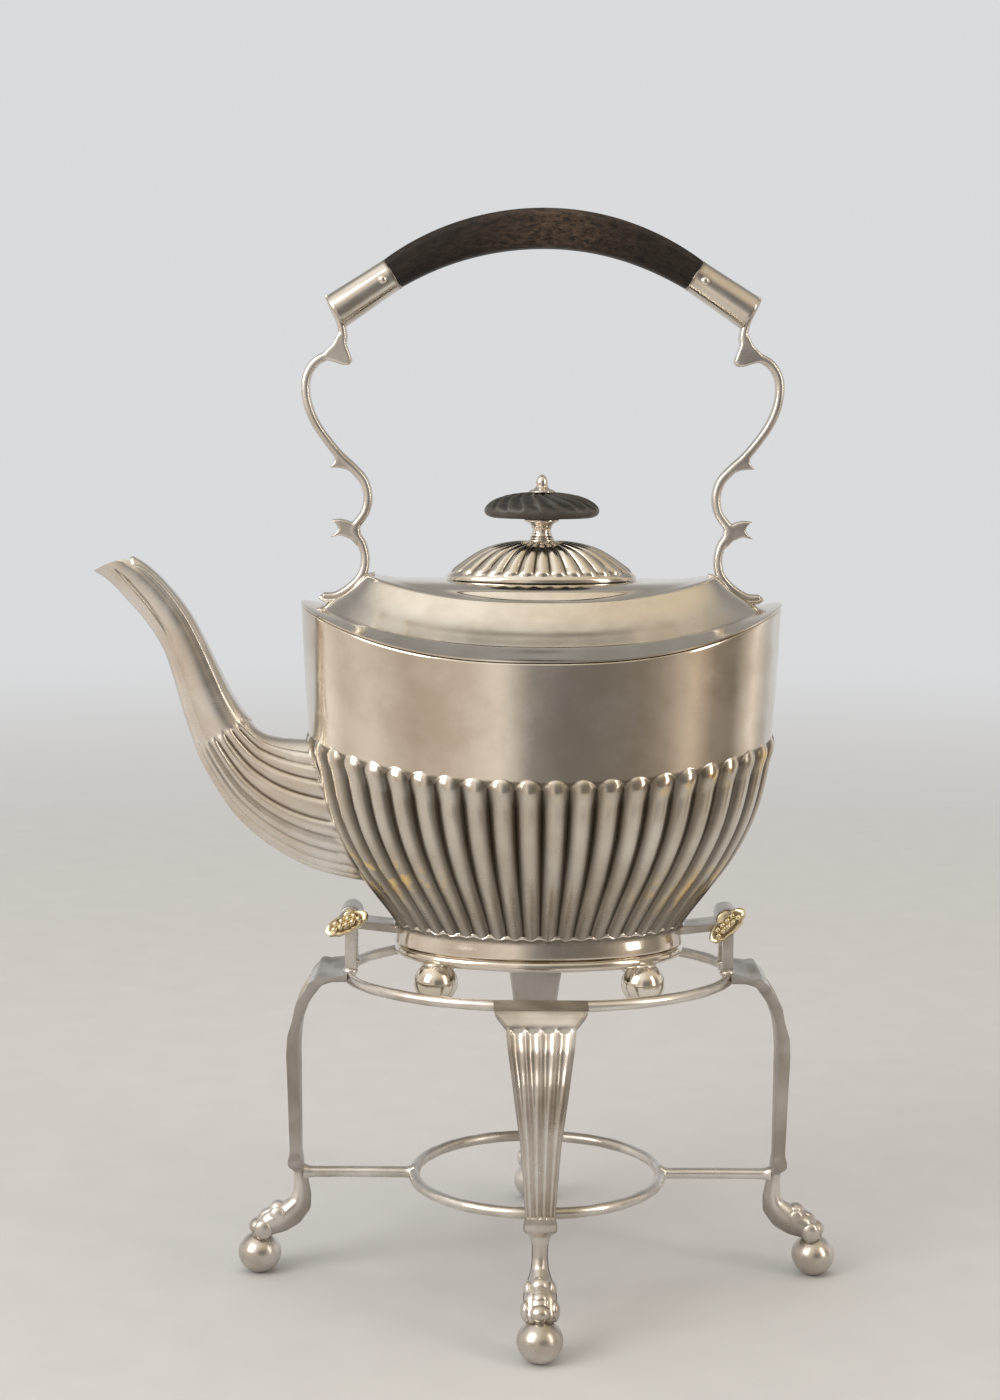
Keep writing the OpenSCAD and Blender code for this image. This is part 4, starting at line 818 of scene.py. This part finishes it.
# Straps. A thin strap of sheet under the foot of each scroll, bent to follow the cove and soldered down;
# it widens a little in the middle.
strap_line = [(80.4, 254.9), (78.2, 253.6), (74, 253.9), (70.6, 255.6), (67.8, 258.0), (65.6, 260.6),
              (63.4, 262.3), (60.4, 263.0)]
strap_half = 4 - 1.4 * np.abs(np.linspace(-1, 1, 60)) ** 3
strap = swept(front_path(strap_line, 60), (0, 1, 0), strap_half, 0.85, 28, square=0.55)
make_pair("strap", strap, "saddle", arm_silver)

# Ferrules. Tapered tubes of sheet that hold the ends of the grip, each with a rolled edge and a closing
# plate at its outer end, and domed rivets through it.
ferrule_silver = metal("ferrule_silver", (0.84, 0.79, 0.72), (0.68, 0.62, 0.54), (0.15, 0.12, 0.09),
                       (0.1, 0.22), 0.8)
# The grip's middle line is an arc: half its span, its slope at the ends and its height in the middle
grip_end_x, slope, grip_mid_z = 53.8, math.radians(33.4), 394 - 14.5 / 2
grip_bend_r = grip_end_x / math.sin(slope)
grip_end = np.array([grip_end_x, 0, grip_mid_z - grip_bend_r * (1 - math.cos(slope))])
ferrule_run = np.array([math.cos(slope), 0, -math.sin(slope)])
ferrule_up = np.array([math.sin(slope), 0, math.cos(slope)])
# Place along the ferrule and radius
ferrule_line = np.array([
    (0.0, 5.0), (-0.1, 5.6), (0.0, 5.9), (0.3, 6.0), (6, 6.1), (11, 6.22), (16, 6.36), (21.6, 6.5),
    (24.0, 6.55), (24.6, 6.45), (24.9, 6.1), (24.9, 0.4)])


def divided(line, count):
    """The line with each of its stretches cut into count equal steps."""
    stretches = [np.linspace(a, b, count, endpoint=False) for a, b in zip(line[:-1], line[1:])]
    return np.concatenate(stretches + [line[-1:]])


turn = full_turn(64)[:, None]
profile = divided(ferrule_line, 5)[:, None]
tube = grip_end + profile[..., :1] * ferrule_run + profile[..., 1:] * (
    np.cos(turn) * ferrule_up + np.sin(turn) * [0, 1, 0])
make_pair("ferrule_tube", capped(tube), "ferrule", ferrule_silver, depth=0.35, sharp=50)
rivet_at = grip_end + 4.2 * ferrule_run
rivets = [ball((sx * rivet_at[0], sy * 6.1, rivet_at[2]), (1.55, 1.05, 1.55), 20, 32) for sx, sy in corners]
make_piece("domed_rivets", together(rivets), "kettle", ferrule_silver, ["grip_rivets"], depth=0.4)

# Grip. One bent length of dark hardwood, flat in front and bevelled along its upper edge, oiled by hands
# and rubbed paler in the middle.
def ramp(tree, value, stops):
    """Colours by a value, from places along it and the colour at each."""
    made = add_node(tree, "ValToRGB", {"Fac": value})
    marks = made.color_ramp.elements
    for k, (at, colour) in enumerate(stops):
        mark = marks[k] if k < 2 else marks.new(at)
        mark.color = (*colour, 1)
        mark.position = at
    return made.outputs["Color"]


wood, tree, shader = new_finish("grip_wood")
shader.inputs["Specular IOR Level"].default_value = 0.22
grain_place = painted_on(tree, "grain").outputs["Vector"]
grain = noise(tree, grain_place, 7, 8, rough=0.7, bend=0.6)
pores = noise(tree, grain_place, 60, 3, rough=0.5)
tone = ramp(tree, grain, [(0.32, (0.009, 0.007, 0.006)), (0.68, (0.030, 0.022, 0.018))])
rubbed = painted_on(tree, "rubbed").outputs["Fac"]
patch = figure(tree, "MULTIPLY", rubbed, between(tree, grain, 0.34, 0.74), clamp=True)
dress(tree, shader, mixed(tree, patch, tone, (0.098, 0.062, 0.040)),
      between(tree, grain, 0, 1, 0.38, 0.6, ease="LINEAR"), bumps(tree, pores, 0.5, 0.00012))
# Outline of a cut across the grip as shares of its half sizes: a round top behind a narrow bevel, a broad
# nearly flat front and a rounded underside
section = np.array([
    (0, 1), (0.4, 0.99), (0.62, 0.95), (0.93, 0.7), (0.97, 0.62), (1.0, 0.1), (0.98, -0.4), (0.85, -0.78),
    (0.55, -0.96), (0, -1), (-0.55, -0.96), (-0.85, -0.78), (-0.98, -0.4), (-1.0, 0.1), (-0.97, 0.62),
    (-0.93, 0.7), (-0.62, 0.95), (-0.4, 0.99)])
cut = divided(np.concatenate([section, section[:1]]), 4)[:-1]
cut = 0.25 * np.roll(cut, 1, 0) + 0.5 * cut + 0.25 * np.roll(cut, -1, 0)
bend = np.linspace(-slope, slope, 121)[:, None]
swell = np.cos(0.5 * np.pi * bend / slope) ** 0.8
half_t, half_y = (11.6 + 2.9 * swell) / 2, 5.9 + 0.9 * swell
radius = grip_bend_r + half_t * cut[:, 1]
grid = np.stack([radius * np.sin(bend), -half_y * cut[:, 0],
                 grip_mid_z - grip_bend_r + radius * np.cos(bend)], -1)
grid += 0.05 * np.sin(9 * bend)[..., None]
grip = make_piece("wooden_grip", capped(grid), "kettle", wood, ["handle_grip"], slot="grip_wood", depth=0.5)
# The grain runs along the bend and round the cut, and the pale patch lies on the front near the middle
run_along = np.concatenate([np.repeat(bend * grip_bend_r / 60, len(cut)), [0, 0]])
turn_round = np.concatenate([np.tile(cut, (len(bend), 1)) * 0.7, [[0, 0], [0, 0]]])
grain_at = np.column_stack([run_along * 2.6, turn_round])
grip.data.attributes.new("grain", "FLOAT_VECTOR", "POINT").data.foreach_set("vector", grain_at.ravel())
worn_patch = np.exp(-((run_along * 60 - 4) / 20) ** 2) * np.clip(0.5 + 0.9 * turn_round[:, 0], 0.2, 1)
painted(grip, "rubbed", 1.2 * worn_patch)

# Lid hinge. A small bracket soldered behind the mouth, a leaf under the lid's back edge and a pin of
# drawn wire through both. Cut from sheet and filed.
from_node("hinge_lug", "hinge_bracket", "kettle", stand_silver, 0.2)
from_node("hinge_wire", "lid_hinge_pin", "kettle", stand_silver, 0.15)
from_node("hinge_leaf", "lid_hinge_leaf", "lid", stand_silver, 0.2)

# Lid. A domed oval of sheet with twenty-eight round-ended flutes above a plain apron, and under it a
# collar that drops into the mouth.
lid_flutes, apron_tall, lid_edge_z, lid_rise = 28, 2.4, 261.7, 13.7
lid_turns, flute_s = even_turns(34.5, 21.5, lid_flutes * 16), across_flutes(lid_flutes, 16)
# Share of the way out from the top's middle and share of the dome's height
dome_line = np.array([
    (1.0, 0.0), (1.0, 0.045), (0.985, 0.1), (0.91, 0.21), (0.82, 0.38), (0.72, 0.54), (0.6, 0.70),
    (0.48, 0.82), (0.34, 0.91), (0.2, 0.965), (0.08, 0.992), (0, 1.0)])
run = distances(dome_line * [25, lid_rise])
at = np.linspace(0, run[-1], 70)
out, up = flowing(run, dome_line, at).T[:, :, None]
half_x, half_y = 4.6 + 29.9 * out, 4.6 + 16.9 * out
past_apron = np.clip(at - apron_tall, 0, None)[:, None]
flute_half = np.pi * np.sqrt((half_x ** 2 + half_y ** 2) / 2) / lid_flutes
cap = np.sqrt(1 - np.clip(1 - past_apron / flute_half, 0, 1) ** 2)
fade = np.clip((run[-1] - at) / 4, 0, 1)[:, None]
across = np.sqrt(np.clip(1 - (flute_s / np.maximum(cap, 1e-3)) ** 2, 0, 1))
across = 0.4 * across + 0.6 * across ** 2
sunk = -np.clip((past_apron - 0.5 * flute_half) / (1.2 * flute_half), 0, 1) * fade
proud = (0.7 + 0.45 * np.exp(-((past_apron - 2.4) / 2) ** 2)) * cap * np.clip(half_x / 20, 0.2, 1) * fade
relief = sunk + (proud - sunk) * across * cap
# The relief stands out sideways at the edge and turns upwards on top
sideways = np.clip(1.4 - up, 0, 1)
dome_rows = np.column_stack([half_x, half_y, lid_edge_z + lid_rise * up])
outside = oval_rings(dome_rows, lid_turns, relief * sideways)
outside[..., 2] += relief * (1 - sideways)
under_rows = [(1.8, 1.8, 275.3), (1.8, 1.8, 274), (12, 9, 273.2), (22, 14, 269.5), (31.5, 18.6, 263.2),
              (33.6, 20.7, 261.7)]
lid_shape = looped(np.concatenate([outside, oval_rings(under_rows, lid_turns)]))
dome_lid = make_piece("fluted_lid", lid_shape, "lid", kettle_silver, ["lid_dome"], depth=0.5, sharp=60,
                      rounds=16)
# Tarnish in the valleys between the lid's flutes, and painted shade spreading up their flanks.
painted(dome_lid, "relief", np.clip(0.95 * (1 - across) - 0.1, 0, 1) * np.clip(past_apron / 2, 0, 1) * fade)
from_node("lid_bezel", "lid_collar", "lid", stand_silver, 0.2)

# Finial. A turned silver stem, a carved oval button of black wood and a bolt with a bud-shaped head that
# clamps the button to the lid against a brass nut inside.
stem_z, bud_z, button_z, button_tall, gouges = 275.4, 292.9, 283.4, 9.5, 20
# Radius and height from the foot up
stem_line = [
    (1.7, -0.2), (4.6, -0.1), (4.7, 0.5), (4.3, 0.9), (4.35, 1.3), (3.9, 1.7), (3.7, 2.4), (3.45, 3.2),
    (3.4, 4.0), (3.6, 4.6), (3.95, 5.0), (3.8, 5.4), (4.6, 6.1), (5.7, 6.7), (6.4, 7.1), (6.4, 7.75),
    (5.9, 8.0), (1.7, 8.0)]
bud_line = [
    (0.05, -0.2), (4.9, -0.1), (5.0, 0.4), (4.3, 0.9), (3.1, 1.3), (2.4, 1.8), (2.1, 2.3), (2.2, 3.0),
    (2.2, 3.8), (2.0, 4.6), (1.6, 5.4), (0.9, 6.1), (0.05, 6.5)]


def lathe_turned(outline, z):
    """A shape turned on the lathe from radius and height pairs, standing at z."""
    line = divided(np.array(outline), 4)
    line[1:-1] = 0.25 * line[:-2] + 0.5 * line[1:-1] + 0.25 * line[2:]
    turn = full_turn(64)
    return capped(np.stack([np.outer(line[:, 0], np.cos(turn)), np.outer(line[:, 0], np.sin(turn)),
                            np.outer(line[:, 1], np.ones(64)) + z], -1))


make_piece("turned_stem", lathe_turned(stem_line, stem_z), "lid", kettle_silver, ["finial_stem"], depth=0.4)
make_piece("bud_bolt", lathe_turned(bud_line, bud_z), "lid", kettle_silver, ["finial_bolt"], depth=0.4)
from_node("bolt_nut", "finial_nut", "lid", brass, 0.25, slot="brass")

black_wood, tree, shader = new_finish("button_wood")
place = add_node(tree, "TexCoord").outputs["Object"]
stretch = add_node(tree, "Mapping", {"Vector": place, "Scale": (1, 6, 6)}).outputs[0]
fibre = noise(tree, stretch, 170, 6, rough=0.5)
tone = ramp(tree, fibre, [(0.35, (0.008, 0.007, 0.007)), (0.72, (0.034, 0.029, 0.026))])
# Painted highlight: the ridges between the gouges are coloured a lighter grey-brown.
edge = between(tree, painted_on(tree, "relief").outputs["Fac"], -0.1, -0.8, 0, 0.7, ease="LINEAR")
dress(tree, shader, mixed(tree, edge, tone, (0.095, 0.083, 0.073)),
      between(tree, fibre, 0, 1, 0.28, 0.5, ease="LINEAR"), bumps(tree, fibre, 0.4, 0.0001))
# Share of the way out and share of the height, from below round the rim to the top
button_line = np.array([
    (0.02, 0.16), (0.25, 0.14), (0.45, 0.08), (0.65, 0.03), (0.82, 0.03), (0.93, 0.09), (0.985, 0.19),
    (1.0, 0.3), (0.985, 0.42), (0.935, 0.56), (0.85, 0.7), (0.74, 0.81), (0.6, 0.9), (0.45, 0.96),
    (0.26, 1.0), (0.1, 1.0)])
run = distances(button_line * [17, button_tall])
out, up = flowing(run, button_line, np.linspace(0, run[-1], 64)).T[:, :, None]
# Gouges curl like a pinwheel from the cap to the rim
turn = full_turn(gouges * 16)
cell = ((turn + 0.75 * (1 - out) * (up > 0.3)) * gouges / (2 * np.pi)) % 1
gouge = np.where(cell < 0.7, 1 - cell / 0.7, (cell - 0.7) / 0.3) ** 1.3 - 1
carved = 1.15 * np.clip((up - 0.3) / 0.25, 0, 1) * np.clip((out - 0.26) / 0.2, 0, 1) * gouge
lean_up = np.clip((up - 0.35) / 0.5, 0, 1)
grid = np.stack([20.85 * out * np.cos(turn) * (1 + (1 - lean_up) * carved / 17),
                 13.5 * out * np.sin(turn) * (1 + (1 - lean_up) * carved / 13),
                 button_z + button_tall * up + lean_up * carved], -1)
make_piece("carved_button", capped(grid), "lid", black_wood, ["finial_button"], slot="button_wood",
           depth=0.45, sharp=50, rounds=16)

# Floor, background and light. A plain pale floor that fades into a plain pale background; one broad soft
# lamp from the left, a narrow one from the right and a weak one above.
backdrop, sides = (0.70, 0.705, 0.715), 96
ring_r, turn = np.geomspace(9000, 50, 24)[:, None], full_turn(sides)
rings = np.stack([ring_r * np.cos(turn), ring_r * np.sin(turn), 0 * ring_r * turn], -1)
points, faces = looped(rings, rows_meet=False)
centre, inmost = len(points), len(points) - sides
faces += [[inmost + j, inmost + (j + 1) % sides, centre] for j in range(sides)]
floor = placed("floor", new_mesh("floor", (np.concatenate([points, [[0, 0, 0]]]), faces)))


def either(tree, factor, first, second):
    """The first surface where factor is 0, the second where it is 1."""
    return add_node(tree, "MixShader", {0: factor, 1: first, 2: second}).outputs[0]


floor_paint, tree, shader = new_finish("floor_paint")
shader.inputs["Roughness"].default_value = 0.9
shader.inputs["Specular IOR Level"].default_value = 0.1
place = add_node(tree, "TexCoord").outputs["Object"]
speck = noise(tree, place, 40, 5, rough=0.5)
paint = ramp(tree, speck, [(0, (0.54, 0.54, 0.545)), (1, (0.60, 0.60, 0.605))])
feed(tree, shader.inputs["Base Color"], paint)
matt = shader.outputs[0]
glow = add_node(tree, "Emission", {"Color": backdrop}).outputs[0]
open_air = add_node(tree, "BsdfTransparent").outputs[0]
rays = add_node(tree, "LightPath").outputs
far = add_node(tree, "VectorMath", {0: place}, operation="LENGTH").outputs["Value"]
# To the camera the floor fades into the background, and to the metal it fades into the studio
watched = either(tree, between(tree, far, 0.35, 2.2), matt, glow)
mirrored_floor = either(tree, between(tree, far, 0.28, 0.62), matt, open_air)
mirror_ray = figure(tree, "MAXIMUM", rays["Is Glossy Ray"], rays["Is Transmission Ray"])
by_gloss = either(tree, mirror_ray, matt, mirrored_floor)
surface = either(tree, rays["Is Camera Ray"], by_gloss, watched)
feed(tree, tree.nodes["Material Output"].inputs["Surface"], surface)
floor.data.materials.append(floor_paint)

world = bpy.data.worlds.new("studio")
bpy.context.scene.world = world
world.use_nodes = True
tree = world.node_tree
tree.nodes.clear()
rays = add_node(tree, "LightPath").outputs
toward = add_node(tree, "SeparateXYZ", {0: add_node(tree, "TexCoord").outputs["Generated"]}).outputs
# The studio that the metal mirrors: by bearing from the front, how bright it is and how warm
bearing_of = figure(tree, "ARCTAN2", toward["X"], figure(tree, "MULTIPLY", toward["Y"], -1))
back_wall = (0.42, 0.41, 0.40)
stops = [(0, back_wall), (1, back_wall)]
for bearing, level, warmth in (
        (-150, 0.4, 0.2), (-128, 0.42, 0.2), (-106, 0.85, 0.8), (-90, 0.62, 1), (-68, 0.7, 0.9),
        (-46, 0.48, 1.4), (-26, 0.6, 1.2), (-12, 0.76, 0.9), (-3, 0.3, 0.5), (8, 0.2, 0.6), (34, 0.21, 1.2),
        (45, 0.33, 1.4), (57, 0.55, 1.8), (69, 0.25, 1.6), (84, 0.22, 1.5), (104, 0.85, 0.9),
        (130, 0.25, 0.5), (150, 0.4, 0.2)):
    stops.append((0.5 + bearing / 360, (level * (1 + 0.12 * warmth), level, level * (1 - 0.12 * warmth))))
walls = ramp(tree, between(tree, bearing_of, -math.pi, math.pi, ease="LINEAR"), stops)
# Above the walls the ceiling is bright by the window at the left, warm at the right and dim at the back
window_side = mixed(tree, between(tree, toward["X"], -0.35, 0.45), (1.1, 1.05, 0.97), (0.72, 0.62, 0.47))
ceiling = mixed(tree, between(tree, toward["Y"], -0.05, 0.6), window_side, (0.34, 0.335, 0.325))
studio = mixed(tree, between(tree, toward["Z"], 0.3, 0.75), walls, ceiling)
room = add_node(tree, "Background", {"Color": studio}).outputs[0]
seen = add_node(tree, "Background", {"Color": backdrop}).outputs[0]
# The camera sees the pale background, and so does the metal where it faces it
facing, level_with = between(tree, toward["Y"], 0.35, 0.75), between(tree, toward["Z"], 0.5, 0.2)
behind = figure(tree, "MULTIPLY", facing, level_with)
mirror = figure(tree, "MAXIMUM", rays["Is Glossy Ray"], rays["Is Transmission Ray"])
pick = figure(tree, "MAXIMUM", rays["Is Camera Ray"], figure(tree, "MULTIPLY", mirror, behind))
add_node(tree, "OutputWorld", {"Surface": either(tree, pick, room, seen)})

for name, place, aim, size, power, colour in (
        ("window_left", (-1.15, -0.9, 0.95), (0, 0, 0.2), (0.9, 1.1), 13, (1.0, 0.97, 0.93)),
        ("strip_right", (1.2, -0.75, 0.7), (0, 0, 0.22), (0.28, 1.1), 4.5, (1.0, 0.95, 0.88)),
        ("overhead", (0.1, 0.1, 1.5), (0, 0, 0.2), (1.8, 1.4), 7, (1.0, 0.99, 0.97))):
    lamp = bpy.data.lights.new(name, "AREA")
    lamp.shape = "RECTANGLE"
    lamp.size, lamp.size_y = size
    lamp.energy, lamp.color = power, colour
    lamp_at = placed(name, lamp)
    lamp_at.location = place
    lamp_at.rotation_euler = (Vector(aim) - Vector(place)).to_track_quat("-Z", "Y").to_euler()
    lamp_at.visible_glossy = name != "overhead"
bpy.context.scene.view_settings.view_transform = "Standard"

bpy.context.view_layer.update()
